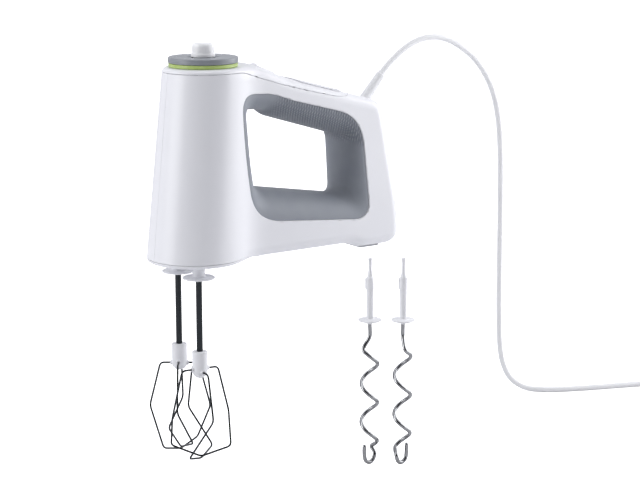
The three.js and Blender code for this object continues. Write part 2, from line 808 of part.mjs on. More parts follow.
// straight neck, a helix in the hook's own sense, then an upturned end
function hookRod(turn) {
  const top = HOOK_DISC_Z - 3 - GAP;
  const points = [new THREE.Vector3(0, 0, top), new THREE.Vector3(0, 0, top - 9)];
  const radius = 6.4;
  const pitch = 30.5;
  const turns = 2.6;
  const helixTop = top - 19;
  const stepsPerTurn = 10;
  for (let i = 0; i <= turns * stepsPerTurn; i++) {
    const angle = turn * (2 * Math.PI * i) / stepsPerTurn;
    points.push(
      new THREE.Vector3(
        -turn * radius * Math.cos(angle), -radius * Math.sin(angle), helixTop - (pitch * i) / stepsPerTurn,
      ),
    );
  }
  const low = FLOOR_Z + HOOK_ROD_RADIUS;
  points.push(new THREE.Vector3(turn * 5.6, 0, low + 7));
  points.push(new THREE.Vector3(turn * 3.6, 0, low + 1.4));
  points.push(new THREE.Vector3(turn * 0.2, 0, low));
  points.push(new THREE.Vector3(-turn * 3.6, 0, low + 2.4));
  points.push(new THREE.Vector3(-turn * 4.8, 0, low + 8));
  points.push(new THREE.Vector3(-turn * 4.8, 0, low + 14));
  return tube(new THREE.CatmullRomCurve3(points, false, 'centripetal'), HOOK_ROD_RADIUS, 60, 6);
}

// ---------- mains cord ----------

function strainRelief() {
  const ribs = [];
  for (const start of [13, 17, 21]) {
    ribs.push([3.2, start], [3.2, start + 1.4], [4, start + 1.6], [4, start + 3.6]);
  }
  const profile = [
    [0, -9], [6.2, -9], [6.2, -7], [4.6, -7], [4.6, 0], [4.4, 11], ...ribs,
    [3.6, 25], [3.1, RELIEF_LENGTH], [0, RELIEF_LENGTH],
  ];
  return turned(profile, 12).rotateY(Math.PI / 2 - RELIEF_SLOPE).translate(...RELIEF_START);
}

const FLOOR_CORD = FLOOR_Z + CORD_RADIUS;
const relief = (distance) => [
  RELIEF_START[0] + distance * Math.cos(RELIEF_SLOPE),
  0,
  RELIEF_START[2] + distance * Math.sin(RELIEF_SLOPE),
];
const LEAD_ROUTE = [
  relief(RELIEF_LENGTH + GAP),
  [181, 0, 141.4],
  [186.6, 0, 146.1],
  [194.6, 0, 152],
  [203.5, 0, 157.3],
  [212.5, 0, 161.1],
  [222, 0, 163.3],
  [232.5, 0, 163.8],
  [242, 0, 162.5],
  [252, 0, 159.2],
  [262.4, 0, 154],
  [271.8, 0, 148],
  [280.5, 0, 140.8],
  [288.5, 0, 132],
  [296, 0, 121],
  [302.5, 0, 107],
  [307.5, 0, 88],
  [310.5, 0, 62],
  [311.8, 0, 28],
  [312.3, 0, -10],
  [312.6, 0, -50],
  [313, -0.3, -90],
  [314, -1, -118],
  [316.6, -2.8, -136.5],
  [322.6, -7.2, -151],
  [333, -14.8, -159.7],
  [347, -24.8, FLOOR_CORD],
  [365, -36, FLOOR_CORD],
  [388, -46.4, FLOOR_CORD],
  [410, -55, FLOOR_CORD],
  [432, -63.6, FLOOR_CORD],
  [453.5, -72, FLOOR_CORD],
];
const TAIL_ROUTE = [
  [496.8, -96.2, FLOOR_CORD + 5],
  [501.5, -100.4, FLOOR_CORD + 4.6],
  [506.6, -106.5, FLOOR_CORD + 3.9],
  [510.6, -114, FLOOR_CORD + 3.8],
  [512.8, -122, FLOOR_CORD + 4.2],
  [513.2, -128, FLOOR_CORD + 4.3],
  [513.2, -134, FLOOR_CORD + 4.3],
];
const PLUG_SPOT = [513.2, -134 - GAP, FLOOR_CORD + 4.3];

const route = (points) => new THREE.CatmullRomCurve3(points.map(at), false, 'centripetal');

const cordLead = () => tube(route(LEAD_ROUTE), CORD_RADIUS, 56, 8);
const cordTail = () => tube(route(TAIL_ROUTE), CORD_RADIUS, 10, 8);

const cordCoil = () =>
  turnedRing(
    COIL_RADIUS - COIL_HALF_WIDTH, COIL_RADIUS + COIL_HALF_WIDTH, FLOOR_Z,
    FLOOR_Z + COIL_HEIGHT, 28,
  ).translate(...COIL_CENTRE, 0);

// band round the coil's turns
function cordTie() {
  const half = COIL_HALF_WIDTH + 0.8;
  const band = 0.9;
  const length = 4;
  const frame = (w, z0, z1) => [
    [COIL_RADIUS - w, z0], [COIL_RADIUS + w, z0], [COIL_RADIUS + w, z1], [COIL_RADIUS - w, z1],
  ];
  const top = FLOOR_Z + COIL_HEIGHT + GAP;
  const outside = prismAcross(frame(half + band, FLOOR_Z, top + band), -length, length);
  const inside = prismAcross(frame(half, FLOOR_Z - 1, top), -length - 1, length + 1);
  return cut(outside, inside).rotateZ(-Math.PI / 4).translate(...COIL_CENTRE, 0);
}

// flat two-pin plug lying on its side: Y along its body, then half width and half height
const PLUG_SECTIONS = [
  [0, 4, 3.9], [-12, 5.2, 4.6], [-16, 10, 6], [-24, 13, 6.8], [-34, 13, 6.8], [-36, 12.2, 6],
];
const PLUG_LENGTH = 36;

function plugBody() {
  const rings = PLUG_SECTIONS.map(([y, halfWidth, halfHeight]) =>
    circlePoints(1, 16).map(([c, s]) => {
      const squared = (value) => Math.sign(value) * Math.abs(value) ** 0.6;
      return new THREE.Vector3(halfWidth * squared(c), y, halfHeight * squared(s));
    }),
  );
  return clean(loft(rings, sideView)).translate(...PLUG_SPOT);
}

const plugPin = (side) =>
  turned([[0, 0], [2, 0], [2, 17.8], [1.2, 19], [0, 19]], 10)
    .rotateX(Math.PI / 2)
    .translate(PLUG_SPOT[0] + side * 9.3, PLUG_SPOT[1] - PLUG_LENGTH - GAP, PLUG_SPOT[2]);

// ---------- assembly ----------

const mixer = new THREE.Group();

function add(parent, name, geometry, material) {
  const mesh = new THREE.Mesh(clean(geometry), material);
  mesh.name = name;
  parent.add(mesh);
}

function groupAt(x, y) {
  const group = new THREE.Group();
  group.position.set(x, y, 0);
  mixer.add(group);
  return group;
}

function addHousing() {
  add(mixer, 'left_shell', shell(1), WHITE);
  add(mixer, 'right_shell', shell(-1), WHITE);
  add(mixer, 'top_cover', topCover(), WHITE);
  add(mixer, 'handle_inlay', handleInlay(), WHITE);
  add(mixer, 'grip_liner', gripLiner(), SOFT_GREY);
  add(mixer, 'base_plate', basePlate(), WHITE);
  add(mixer, 'light_ring', lightRing(), LIME);
  add(mixer, 'heel_foot', heelFoot(), SOFT_GREY);
  BOSSES.forEach(([x, z], i) => add(mixer, `shell_screw_${i + 1}`, shellScrew(x, z), STEEL));
}

function addControls() {
  add(mixer, 'speed_dial', speedDial(), DIAL_GREY);
  add(mixer, 'dial_switch', dialSwitch(), DARK_PLASTIC);
  add(mixer, 'eject_button', ejectButton(), WHITE);
  add(mixer, 'ejector_fork', ejectorFork(), NYLON);
  add(mixer, 'eject_spring', ejectSpring(), STEEL);
  add(mixer, 'turbo_button', turboButton(), WHITE);
  add(mixer, 'turbo_switch', turboSwitch(), DARK_PLASTIC);
  add(mixer, 'control_board', block(58, 112, -17, 17, 6, 7.6), BOARD_GREEN);
}

function addMotor() {
  const motor = groupAt(MOTOR_X, MOTOR_Y);
  add(motor, 'stator_core', statorCore(), STEEL);
  add(motor, 'field_coil_rear', fieldCoil(1), COPPER);
  add(motor, 'field_coil_front', fieldCoil(-1), COPPER);
  add(motor, 'motor_bracket', motorBracket(), DARK_PLASTIC);
  add(motor, 'upper_bearing', bearing(2.8, 6, 110, 115), BRONZE);
  add(motor, 'lower_bearing', bearing(2.8, 5, 29.2, 36), BRONZE);
  add(motor, 'brush_holder', brushHolder(), CARBON);
  add(motor, 'armature_core', armatureCore(), STEEL);
  add(motor, 'armature_winding', armatureWinding(), COPPER);
  add(motor, 'commutator', turnedRing(2.8, 8, 98.3, 108, 24), COPPER);
  add(motor, 'motor_shaft', motorShaft(), STEEL);
  add(motor, 'cooling_fan', coolingFan(), DARK_PLASTIC);
}

function addGearbox() {
  add(mixer, 'gear_plate', gearPlate(), NYLON);
  const idler = groupAt(IDLER_AXIS.x, IDLER_AXIS.y);
  add(idler, 'idler_gear', idlerGear(), NYLON);
}

function addTool(name, side, phase, startAngle) {
  const tool = groupAt(TOOL_X, side * TOOL_Y);
  add(tool, `${name}_spindle`, spindle(phase), STEEL);
  add(tool, `${name}_ejector_pin`, ejectorPin(), STEEL);
  add(tool, `${name}_beater_sleeve`, beaterSleeve(), WHITE);
  add(tool, `${name}_beater_shaft`, beaterShaft(), CHROME);
  add(tool, `${name}_beater_hub`, beaterHub(), WHITE);
  LOOPS.forEach((loop, i) =>
    add(tool, `${name}_beater_wire_${i + 1}`, wireLoop(loop, startAngle, -side), CHROME),
  );
}

function addHooks() {
  for (const { name, x, y, turn } of HOOK_SPOTS) {
    const hook = groupAt(x, y);
    add(hook, `${name}_hook_sleeve`, hookSleeve(), WHITE);
    add(hook, `${name}_hook_rod`, hookRod(turn), CHROME);
  }
}

function addCord() {
  add(mixer, 'strain_relief', strainRelief(), CORD_WHITE);
  add(mixer, 'cord_lead', cordLead(), CORD_WHITE);
  add(mixer, 'cord_coil', cordCoil(), CORD_WHITE);
  add(mixer, 'cord_tie', cordTie(), DARK_PLASTIC);
  add(mixer, 'cord_tail', cordTail(), CORD_WHITE);
  add(mixer, 'plug_body', plugBody(), CORD_WHITE);
  add(mixer, 'plug_pin_1', plugPin(1), CHROME);
  add(mixer, 'plug_pin_2', plugPin(-1), CHROME);
}

addHousing();
addControls();
addMotor();
addGearbox();
addTool('left', 1, LEFT_PHASE, 53);
addTool('right', -1, RIGHT_PHASE, -8);
addHooks();
addCord();

const part = new THREE.Group();
mixer.position.set(-GRIP_X, 0, -GRIP_Z);
part.add(mixer);

export default part;
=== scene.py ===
"""Electric hand mixer with beaters, dough hooks and a mains cord, drawn around its CAD frame.

Lengths are in metres in the part's own frame: the grip's centre is the origin, +Z is up,
-X is the front and +Y the left side. MIXER moves coordinates that are counted from the
dial's axis and the housing's underside, in millimetres, into that frame.
"""

import math

import bmesh
import bpy
import numpy as np
from mathutils import Matrix, Vector


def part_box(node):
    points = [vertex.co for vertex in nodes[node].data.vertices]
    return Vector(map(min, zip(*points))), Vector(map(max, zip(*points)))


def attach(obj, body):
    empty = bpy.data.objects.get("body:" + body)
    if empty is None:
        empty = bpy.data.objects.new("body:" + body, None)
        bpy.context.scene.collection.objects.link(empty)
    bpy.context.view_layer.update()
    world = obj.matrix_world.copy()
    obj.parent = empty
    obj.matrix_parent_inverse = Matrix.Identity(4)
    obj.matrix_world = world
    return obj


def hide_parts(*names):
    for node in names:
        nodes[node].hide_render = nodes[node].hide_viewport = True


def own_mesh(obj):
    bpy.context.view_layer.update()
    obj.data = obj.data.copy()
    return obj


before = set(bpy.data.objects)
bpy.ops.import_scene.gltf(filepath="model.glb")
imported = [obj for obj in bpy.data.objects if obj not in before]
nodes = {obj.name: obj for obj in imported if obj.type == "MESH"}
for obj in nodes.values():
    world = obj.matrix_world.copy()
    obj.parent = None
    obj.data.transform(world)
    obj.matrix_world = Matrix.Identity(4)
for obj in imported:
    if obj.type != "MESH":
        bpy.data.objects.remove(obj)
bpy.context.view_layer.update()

MM = 0.001
GRIP = np.array([86.0, 0.0, 119.0])
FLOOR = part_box("cord_coil")[0][2]


def place(point):
    """Millimetres from the dial's axis and the underside, as metres in the part's frame."""
    return tuple((np.asarray(point, float) - GRIP) * MM)


def place_all(points):
    return (np.asarray(points, float) - GRIP) * MM


# ---------- camera ----------

VIEW_AZIMUTH = math.radians(-36)
VIEW_ELEVATION = math.radians(11.8)
VIEW_DISTANCE = 1.505
VIEW_TARGET = Vector((0.0266, 0.0, -0.1261))
LENS = 101.53


def add_camera():
    back = Vector((
        math.sin(VIEW_AZIMUTH) * math.cos(VIEW_ELEVATION),
        -math.cos(VIEW_AZIMUTH) * math.cos(VIEW_ELEVATION),
        math.sin(VIEW_ELEVATION),
    ))
    right = Vector((math.cos(VIEW_AZIMUTH), math.sin(VIEW_AZIMUTH), 0))
    up = back.cross(right)
    data = bpy.data.cameras.new("camera")
    data.lens = LENS
    data.sensor_width = 36
    data.clip_start = 0.05
    data.clip_end = 50
    camera = bpy.data.objects.new("camera", data)
    camera.matrix_world = Matrix((
        (right.x, up.x, back.x, VIEW_TARGET.x + back.x * VIEW_DISTANCE),
        (right.y, up.y, back.y, VIEW_TARGET.y + back.y * VIEW_DISTANCE),
        (right.z, up.z, back.z, VIEW_TARGET.z + back.z * VIEW_DISTANCE),
        (0, 0, 0, 1),
    ))
    bpy.context.scene.collection.objects.link(camera)
    bpy.context.scene.camera = camera


add_camera()


# ---------- mesh helpers ----------

def new_object(name, data):
    thing = bpy.data.objects.new(name, data)
    bpy.context.scene.collection.objects.link(thing)
    return thing


def mesh_object(name, points, faces, smooth=True, normals=None):
    mesh = bpy.data.meshes.new(name)
    mesh.from_pydata([tuple(p) for p in points], [], [tuple(f) for f in faces])
    mesh.validate()
    if smooth:
        mesh.shade_smooth()
    if normals is not None:
        mesh.normals_split_custom_set_from_vertices([tuple(n) for n in normals])
    return new_object(name, mesh)


def soften_corners(thing, degrees=35):
    """Shades a piece smooth except across edges sharper than this."""
    mesh = thing.data
    mesh.shade_smooth()
    mesh.set_sharp_from_angle(angle=math.radians(degrees))


def outward(thing):
    """Turns every face of a closed piece to face outwards."""
    mesh = bmesh.new()
    mesh.from_mesh(thing.data)
    bmesh.ops.remove_doubles(mesh, verts=mesh.verts, dist=1e-6)
    bmesh.ops.recalc_face_normals(mesh, faces=mesh.faces)
    mesh.to_mesh(thing.data)
    mesh.free()
    return thing


def ring_faces(rings, size, closed=False):
    """Quads between rings of points that were added one after another."""
    last = rings if closed else rings - 1
    return [
        (i * size + k, i * size + (k + 1) % size,
         (i + 1) % rings * size + (k + 1) % size, (i + 1) % rings * size + k)
        for i in range(last) for k in range(size)
    ]


def capped_faces(rings, size):
    """Quads between rings of points, closed by a flat face at either end."""
    end = (rings - 1) * size
    return ring_faces(rings, size) + [tuple(range(size))[::-1], tuple(range(end, end + size))]


def lathe(name, profile, sides=64, centre=(0, 0, 0), degrees=35, closed=False, axis=(0, 0, 1)):
    """Turned piece about an axis; profile is radius, height pairs in millimetres.

    A closed profile is joined end to start, and an open one starts and ends on the axis.
    """
    points, faces, rings = [], [], []
    for radius, height in profile:
        if radius < 1e-6:
            rings.append([len(points)])
            points.append((0, 0, height))
            continue
        rings.append(list(range(len(points), len(points) + sides)))
        for i in range(sides):
            angle = 2 * math.pi * i / sides
            points.append((radius * math.cos(angle), radius * math.sin(angle), height))
    pairs = list(zip(rings, rings[1:]))
    if closed:
        pairs.append((rings[-1], rings[0]))
    for low, high in pairs:
        if len(low) == 1 and len(high) == 1:
            continue
        for i in range(sides):
            j = (i + 1) % sides
            if len(low) == 1:
                faces.append((low[0], high[j], high[i]))
            elif len(high) == 1:
                faces.append((low[i], low[j], high[0]))
            else:
                faces.append((low[i], low[j], high[j], high[i]))
    turn = np.array(Vector((0, 0, 1)).rotation_difference(Vector(axis)).to_matrix())
    spots = place_all(np.array(points, float) @ turn.T + np.array(centre))
    thing = outward(mesh_object(name, spots, faces))
    soften_corners(thing, degrees)
    return thing


def rounded(corners, radius, steps=4, closed=False):
    """Polyline with every corner replaced by a small arc; works in two or three dimensions."""
    corners = [np.asarray(c, float) for c in corners]
    count = len(corners)
    line = []
    for i, corner in enumerate(corners):
        if not closed and i in (0, count - 1):
            line.append(corner)
            continue
        before = corners[i - 1] - corner
        after = corners[(i + 1) % count] - corner
        reach = radius[i] if hasattr(radius, "__len__") else radius
        reach = min(reach, 0.49 * np.linalg.norm(before), 0.49 * np.linalg.norm(after))
        start = corner + before / np.linalg.norm(before) * reach
        end = corner + after / np.linalg.norm(after) * reach
        for k in range(steps + 1):
            t = k / steps
            line.append((1 - t) ** 2 * start + 2 * t * (1 - t) * corner + t ** 2 * end)
    return np.array(line)


def resample(line, step, closed=False):
    line = np.asarray(line, float)
    if closed:
        line = np.vstack([line, line[:1]])
    gaps = np.linalg.norm(np.diff(line, axis=0), axis=1)
    along = np.concatenate([[0], np.cumsum(gaps)])
    count = max(int(round(along[-1] / step)), 3)
    stops = np.linspace(0, along[-1], count + 1)
    out = np.stack([np.interp(stops, along, line[:, k]) for k in range(line.shape[1])], axis=1)
    return out[:-1] if closed else out


def catmull(points, steps):
    """Centripetal Catmull-Rom curve through the points."""
    points = np.asarray(points, float)
    ends = np.vstack([2 * points[0] - points[1], points, 2 * points[-1] - points[-2]])
    out = []
    for i in range(len(points) - 1):
        p0, p1, p2, p3 = ends[i:i + 4]
        t0 = 0.0
        t1 = t0 + np.linalg.norm(p1 - p0) ** 0.5
        t2 = t1 + np.linalg.norm(p2 - p1) ** 0.5
        t3 = t2 + np.linalg.norm(p3 - p2) ** 0.5
        for t in np.linspace(t1, t2, steps, endpoint=False):
            a1 = (t1 - t) / (t1 - t0) * p0 + (t - t0) / (t1 - t0) * p1
            a2 = (t2 - t) / (t2 - t1) * p1 + (t - t1) / (t2 - t1) * p2
            a3 = (t3 - t) / (t3 - t2) * p2 + (t - t2) / (t3 - t2) * p3
            b1 = (t2 - t) / (t2 - t0) * a1 + (t - t0) / (t2 - t0) * a2
            b2 = (t3 - t) / (t3 - t1) * a2 + (t - t1) / (t3 - t1) * a3
            out.append((t2 - t) / (t2 - t1) * b1 + (t - t1) / (t2 - t1) * b2)
    out.append(points[-1])
    return np.array(out)


def sweep(name, line, radius, sides=12, round_ends=False, centre=(0, 0, 0)):
    """Round bar along a line in millimetres, with a frame carried along without twist."""
    line = np.asarray(line, float) + np.array(centre)
    radii = np.full(len(line), radius) if np.isscalar(radius) else np.asarray(radius, float)
    if round_ends:
        first = (line[0] - line[1]) / np.linalg.norm(line[0] - line[1])
        last = (line[-1] - line[-2]) / np.linalg.norm(line[-1] - line[-2])
        angles = [math.pi / 2 * k / 4 for k in range(1, 4)]
        head = [line[0] + first * radii[0] * math.sin(a) for a in reversed(angles)]
        tail = [line[-1] + last * radii[-1] * math.sin(a) for a in angles]
        line = np.vstack([head, line, tail])
        ends = [math.cos(a) for a in angles]
        radii = np.concatenate([
            radii[0] * np.array(ends[::-1]), radii, radii[-1] * np.array(ends)])
    tangents = np.gradient(line, axis=0)
    tangents /= np.linalg.norm(tangents, axis=1)[:, None]
    side = np.cross(tangents[0], [0, 0, 1.0])
    if np.linalg.norm(side) < 1e-3:
        side = np.cross(tangents[0], [1.0, 0, 0])
    side /= np.linalg.norm(side)
    points = []
    for i, (spot, tangent) in enumerate(zip(line, tangents)):
        side = side - tangent * side.dot(tangent)
        side /= np.linalg.norm(side)
        other = np.cross(tangent, side)
        for k in range(sides):
            angle = 2 * math.pi * k / sides
            points.append(spot + radii[i] * (math.cos(angle) * side + math.sin(angle) * other))
    thing = mesh_object(name, place_all(points), capped_faces(len(line), sides))
    soften_corners(thing, 50)
    return thing


def shown(thing, body, slot, *stands_for):
    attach(thing, body)
    if stands_for:
        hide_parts(*stands_for)
    return thing


# ---------- materials ----------

def node_material(name, base, roughness, metallic=0.0, **settings):
    """Principled material with cloudy colour, uneven gloss and a fine bumpy skin."""
    tint = settings.get("tint", tuple(0.93 * c for c in base))
    material = bpy.data.materials.new(name)
    material.use_nodes = True
    tree = material.node_tree
    shader = tree.nodes["Principled BSDF"]
    shader.inputs["Metallic"].default_value = metallic
    for socket, value in settings.get("sockets", {}).items():
        shader.inputs[socket].default_value = value
    where = tree.nodes.new("ShaderNodeTexCoord")
    stretch = tree.nodes.new("ShaderNodeMapping")
    stretch.inputs["Scale"].default_value = settings.get("stretch", (1, 1, 1))
    tree.links.new(where.outputs["Object"], stretch.inputs["Vector"])

    def noise(scale, detail=3.0):
        node = tree.nodes.new("ShaderNodeTexNoise")
        node.inputs["Scale"].default_value = scale
        node.inputs["Detail"].default_value = detail
        tree.links.new(stretch.outputs["Vector"], node.inputs["Vector"])
        return node.outputs["Fac"]

    def spread(source, low, high):
        node = tree.nodes.new("ShaderNodeMapRange")
        node.inputs["From Min"].default_value = 0.3
        node.inputs["From Max"].default_value = 0.7
        node.inputs["To Min"].default_value = low
        node.inputs["To Max"].default_value = high
        tree.links.new(source, node.inputs["Value"])
        return node.outputs["Result"]

    blend = tree.nodes.new("ShaderNodeMix")
    blend.data_type = "RGBA"
    blend.inputs["A"].default_value = (*base, 1)
    blend.inputs["B"].default_value = (*tint, 1)
    tree.links.new(spread(noise(settings.get("cloud", 60)), 0, 1), blend.inputs["Factor"])
    tree.links.new(blend.outputs["Result"], shader.inputs["Base Color"])
    wander = settings.get("wander", 0.15)
    rough = spread(
        noise(settings.get("patch", 110)), roughness * (1 - wander), roughness * (1 + wander))
    tree.links.new(rough, shader.inputs["Roughness"])
    bump = tree.nodes.new("ShaderNodeBump")
    bump.inputs["Strength"].default_value = settings.get("bump", 0.05)
    bump.inputs["Distance"].default_value = settings.get("depth", 0.0001)
    height = noise(settings.get("grain", 1500), 2.0)
    if "dots" in settings:
        height = settings["dots"](tree, where, height, blend)
    tree.links.new(height, bump.inputs["Height"])
    tree.links.new(bump.outputs["Normal"], shader.inputs["Normal"])
    return material


def paint(material, *things):
    """Gives a finish to pieces, or to CAD nodes through their material slots."""
    for thing in things:
        if not thing.material_slots:
            thing.data.materials.append(material)
        for place_for in thing.material_slots:
            place_for.material = material


DOT_PITCH = 2 * math.pi / 0.0052


def grip_dots(tree, where, grain, blend):
    """Rows of small raised dots on the underside of the grip, fading out at its ends, with painted shade
    darkening the hollows between the dots.
    """
    def math_node(kind, a, b=None, c=None):
        node = tree.nodes.new("ShaderNodeMath")
        node.operation = kind
        for socket, value in zip(node.inputs, (a, b, c)):
            if value is None:
                continue
            if isinstance(value, (int, float)):
                socket.default_value = value
            else:
                tree.links.new(value, socket)
        return node.outputs[0]

    apart = tree.nodes.new("ShaderNodeSeparateXYZ")
    tree.links.new(where.outputs["Object"], apart.inputs["Vector"])
    x, y, z = apart.outputs
    along = math_node("MULTIPLY_ADD", z, -0.25, x)
    rows = math_node("MULTIPLY_ADD", y, 0.8, along), math_node("MULTIPLY_ADD", y, -0.8, along)
    waves = [math_node("SINE", math_node("MULTIPLY", v, DOT_PITCH)) for v in rows]
    dots = math_node("MULTIPLY", *waves)
    dots = math_node("SMOOTH_MAX", math_node("ABSOLUTE", dots), 0.25, 0.1)
    above = tree.nodes.new("ShaderNodeMapRange")
    above.inputs["From Min"].default_value = -0.026
    above.inputs["From Max"].default_value = -0.020
    height_line = math_node("MULTIPLY_ADD", x, 0.256, z)
    tree.links.new(height_line, above.inputs["Value"])
    ends = tree.nodes.new("ShaderNodeMapRange")
    ends.inputs["From Min"].default_value = -0.036
    ends.inputs["From Max"].default_value = -0.024
    tree.links.new(x, ends.inputs["Value"])
    area = math_node("MULTIPLY", above.outputs[0], ends.outputs[0])
    masked = math_node("MULTIPLY", dots, area)
    # Painted shade: the colour is multiplied darker in the hollows between the raised dots and left as it is
    # on their tops.
    hollow_shade = tree.nodes.new("ShaderNodeMix")
    hollow_shade.data_type = "RGBA"
    hollow_shade.blend_type = "MULTIPLY"
    hollow_shade.inputs["B"].default_value = (0.6, 0.61, 0.63, 1)
    tree.links.new(math_node("SUBTRACT", area, masked), hollow_shade.inputs["Factor"])
    tree.links.new(blend.outputs["Result"], hollow_shade.inputs["A"])
    tree.links.new(hollow_shade.outputs["Result"], tree.nodes["Principled BSDF"].inputs["Base Color"])
    return math_node("MULTIPLY_ADD", grain, 0.12, masked)


WHITE = node_material(
    "gloss_white_plastic", (0.835, 0.84, 0.875), 0.34, tint=(0.828, 0.834, 0.87), cloud=18,
    wander=0.03, patch=30, grain=2400, bump=0.015,
    sockets={"Coat Weight": 0.15, "Coat Roughness": 0.16})
BUTTON_WHITE = node_material(
    "satin_white_button", (0.93, 0.935, 0.955), 0.45, tint=(0.92, 0.925, 0.95), cloud=60,
    wander=0.05, grain=2400,
    sockets={"Subsurface Weight": 0.4, "Subsurface Radius": (0.006, 0.006, 0.006)})
TOOL_WHITE = node_material(
    "tool_white_plastic", (0.84, 0.845, 0.87), 0.3, tint=(0.825, 0.83, 0.86), cloud=60,
    wander=0.06, grain=2400, sockets={"Subsurface Weight": 0.15, "Subsurface Radius": (0.004, 0.004, 0.004)})
SOFT_GREY = node_material(
    "soft_grey_grip", (0.28, 0.30, 0.335), 0.52, tint=(0.26, 0.28, 0.32), cloud=90,
    wander=0.08, grain=2600, bump=0.9, depth=0.0006, dots=grip_dots)
FOOT_GREY = node_material(
    "soft_grey_foot", (0.50, 0.51, 0.54), 0.6, grain=3000, bump=0.2)
DIAL_GREY = node_material(
    "slate_dial_plastic", (0.26, 0.278, 0.305), 0.36, tint=(0.247, 0.264, 0.29), cloud=150,
    grain=2200, bump=0.08)
# Lime ring plastic with a faint emission: painted glow standing for light passing through the translucent
# ring, which is no lamp.
LIME_WITH_PAINTED_GLOW = node_material(
    "lime_ring_plastic_painted_glow", (0.40, 0.52, 0.15), 0.25, tint=(0.44, 0.56, 0.18), cloud=200,
    grain=1200, sockets={"Emission Color": (0.5, 0.75, 0.2, 1), "Emission Strength": 0.04})
INK = node_material("pale_dial_print", (0.72, 0.74, 0.78), 0.5, grain=3000)
CHROME = node_material(
    "polished_chrome", (0.36, 0.365, 0.375), 0.06, 1.0, tint=(0.30, 0.305, 0.315), cloud=400,
    wander=0.4, patch=500, grain=2500, bump=0.02)
# Copy of the polished chrome for the beaters' rods and wires, with its colour turned near black: painted
# shade standing for the dark surroundings they reflect.
SHADED_CHROME = node_material(
    "polished_chrome_painted_dark", (0.042, 0.046, 0.05), 0.12, 1.0, tint=(0.034, 0.038, 0.042), cloud=400,
    wander=0.4, patch=500, grain=2500, bump=0.02)
STEEL = node_material(
    "machined_steel", (0.52, 0.53, 0.55), 0.33, 1.0, tint=(0.44, 0.45, 0.47), cloud=220,
    stretch=(1, 1, 14), grain=2200, bump=0.06)
COPPER = node_material(
    "enamelled_copper", (0.55, 0.22, 0.09), 0.3, 1.0, tint=(0.42, 0.15, 0.06), cloud=500,
    stretch=(1, 1, 30), grain=1800, bump=0.3)
BRONZE = node_material(
    "sintered_bronze", (0.48, 0.34, 0.16), 0.42, 1.0, tint=(0.40, 0.28, 0.13), grain=2400, bump=0.15)
NYLON = node_material(
    "moulded_nylon", (0.76, 0.74, 0.66), 0.45, tint=(0.72, 0.69, 0.6), grain=1600, bump=0.06)
DARK = node_material(
    "dark_moulded_plastic", (0.035, 0.038, 0.042), 0.45, tint=(0.028, 0.03, 0.034),
    grain=1800, bump=0.12)
BOARD = node_material(
    "green_circuit_board", (0.03, 0.16, 0.07), 0.35, tint=(0.02, 0.11, 0.05), cloud=420, bump=0.1)
CORD = node_material(
    "soft_white_cord", (0.86, 0.865, 0.88), 0.36, tint=(0.85, 0.855, 0.875), cloud=160,
    grain=1800, bump=0.08)


# ---------- mains cord ----------

FLOOR_CORD = -162.0
CORD_RADIUS = 2.5
RELIEF_START = np.array([159.0, 0.0, 117.0])
RELIEF_SLOPE = math.atan2(19.3, 17.1)
RELIEF_AXIS = np.array([math.cos(RELIEF_SLOPE), 0, math.sin(RELIEF_SLOPE)])
RELIEF_LENGTH = 27.0
COIL_CENTRE = np.array([463.0, -107.0])
COIL_INNER, COIL_OUTER = 20.0, 30.0
COIL_3D = np.array([*COIL_CENTRE, FLOOR_CORD])
COIL_START = math.radians(68.7)
COIL_TURNS = 4 + 18.7 / 360
COIL_STEPS = 16
PLUG_SPOT = np.array([513.2, -134.3, FLOOR_CORD + 4.3])
PLUG_SECTIONS = [
    (0, 4, 3.9), (-1, 4.6, 4.3), (-12, 5.2, 4.6), (-14, 7.3, 5.3), (-16, 10, 6), (-20, 12.2, 6.6),
    (-24, 13, 6.8), (-34, 13, 6.8), (-35.4, 12.7, 6.5), (-36, 12, 5.9),
]
PIN_RADIUS, PIN_LENGTH, PIN_SLEEVE = 2.0, 19.0, 10.0


def relief(distance):
    return RELIEF_START + RELIEF_AXIS * distance


LEAD_ROUTE = [
    relief(21), relief(27.3), (181, 0, 141.4), (186.6, 0, 146.1), (194.6, 0, 152), (203.5, 0, 157.3),
    (212.5, 0, 161.1), (222, 0, 163.3), (232.5, 0, 163.8), (242, 0, 162.5), (252, 0, 159.2),
    (262.4, 0, 154), (271.8, 0, 148), (280.5, 0, 140.8), (288.5, 0, 132), (296, 0, 121),
    (302.5, 0, 107), (307.5, 0, 88), (310.5, 0, 62), (311.8, 0, 28), (312.3, 0, -10),
    (312.6, 0, -50), (313, -0.3, -90), (314, -1, -118), (316.6, -2.8, -136.5),
    (322.6, -7.2, -151), (333, -14.8, -159.7), (347, -24.8, FLOOR_CORD), (365, -36, FLOOR_CORD),
    (388, -46.4, FLOOR_CORD), (410, -55, FLOOR_CORD), (432, -63.6, FLOOR_CORD),
    (453.5, -72, FLOOR_CORD),
]
TAIL_ROUTE = [
    (496.8, -96.2, FLOOR_CORD + 5), (501.5, -100.4, FLOOR_CORD + 4.6),
    (506.6, -106.5, FLOOR_CORD + 3.9), (510.6, -114, FLOOR_CORD + 3.8),
    (512.8, -122, FLOOR_CORD + 4.2), (513.2, -128, FLOOR_CORD + 4.3),
    (513.2, -138, FLOOR_CORD + 4.3),
]


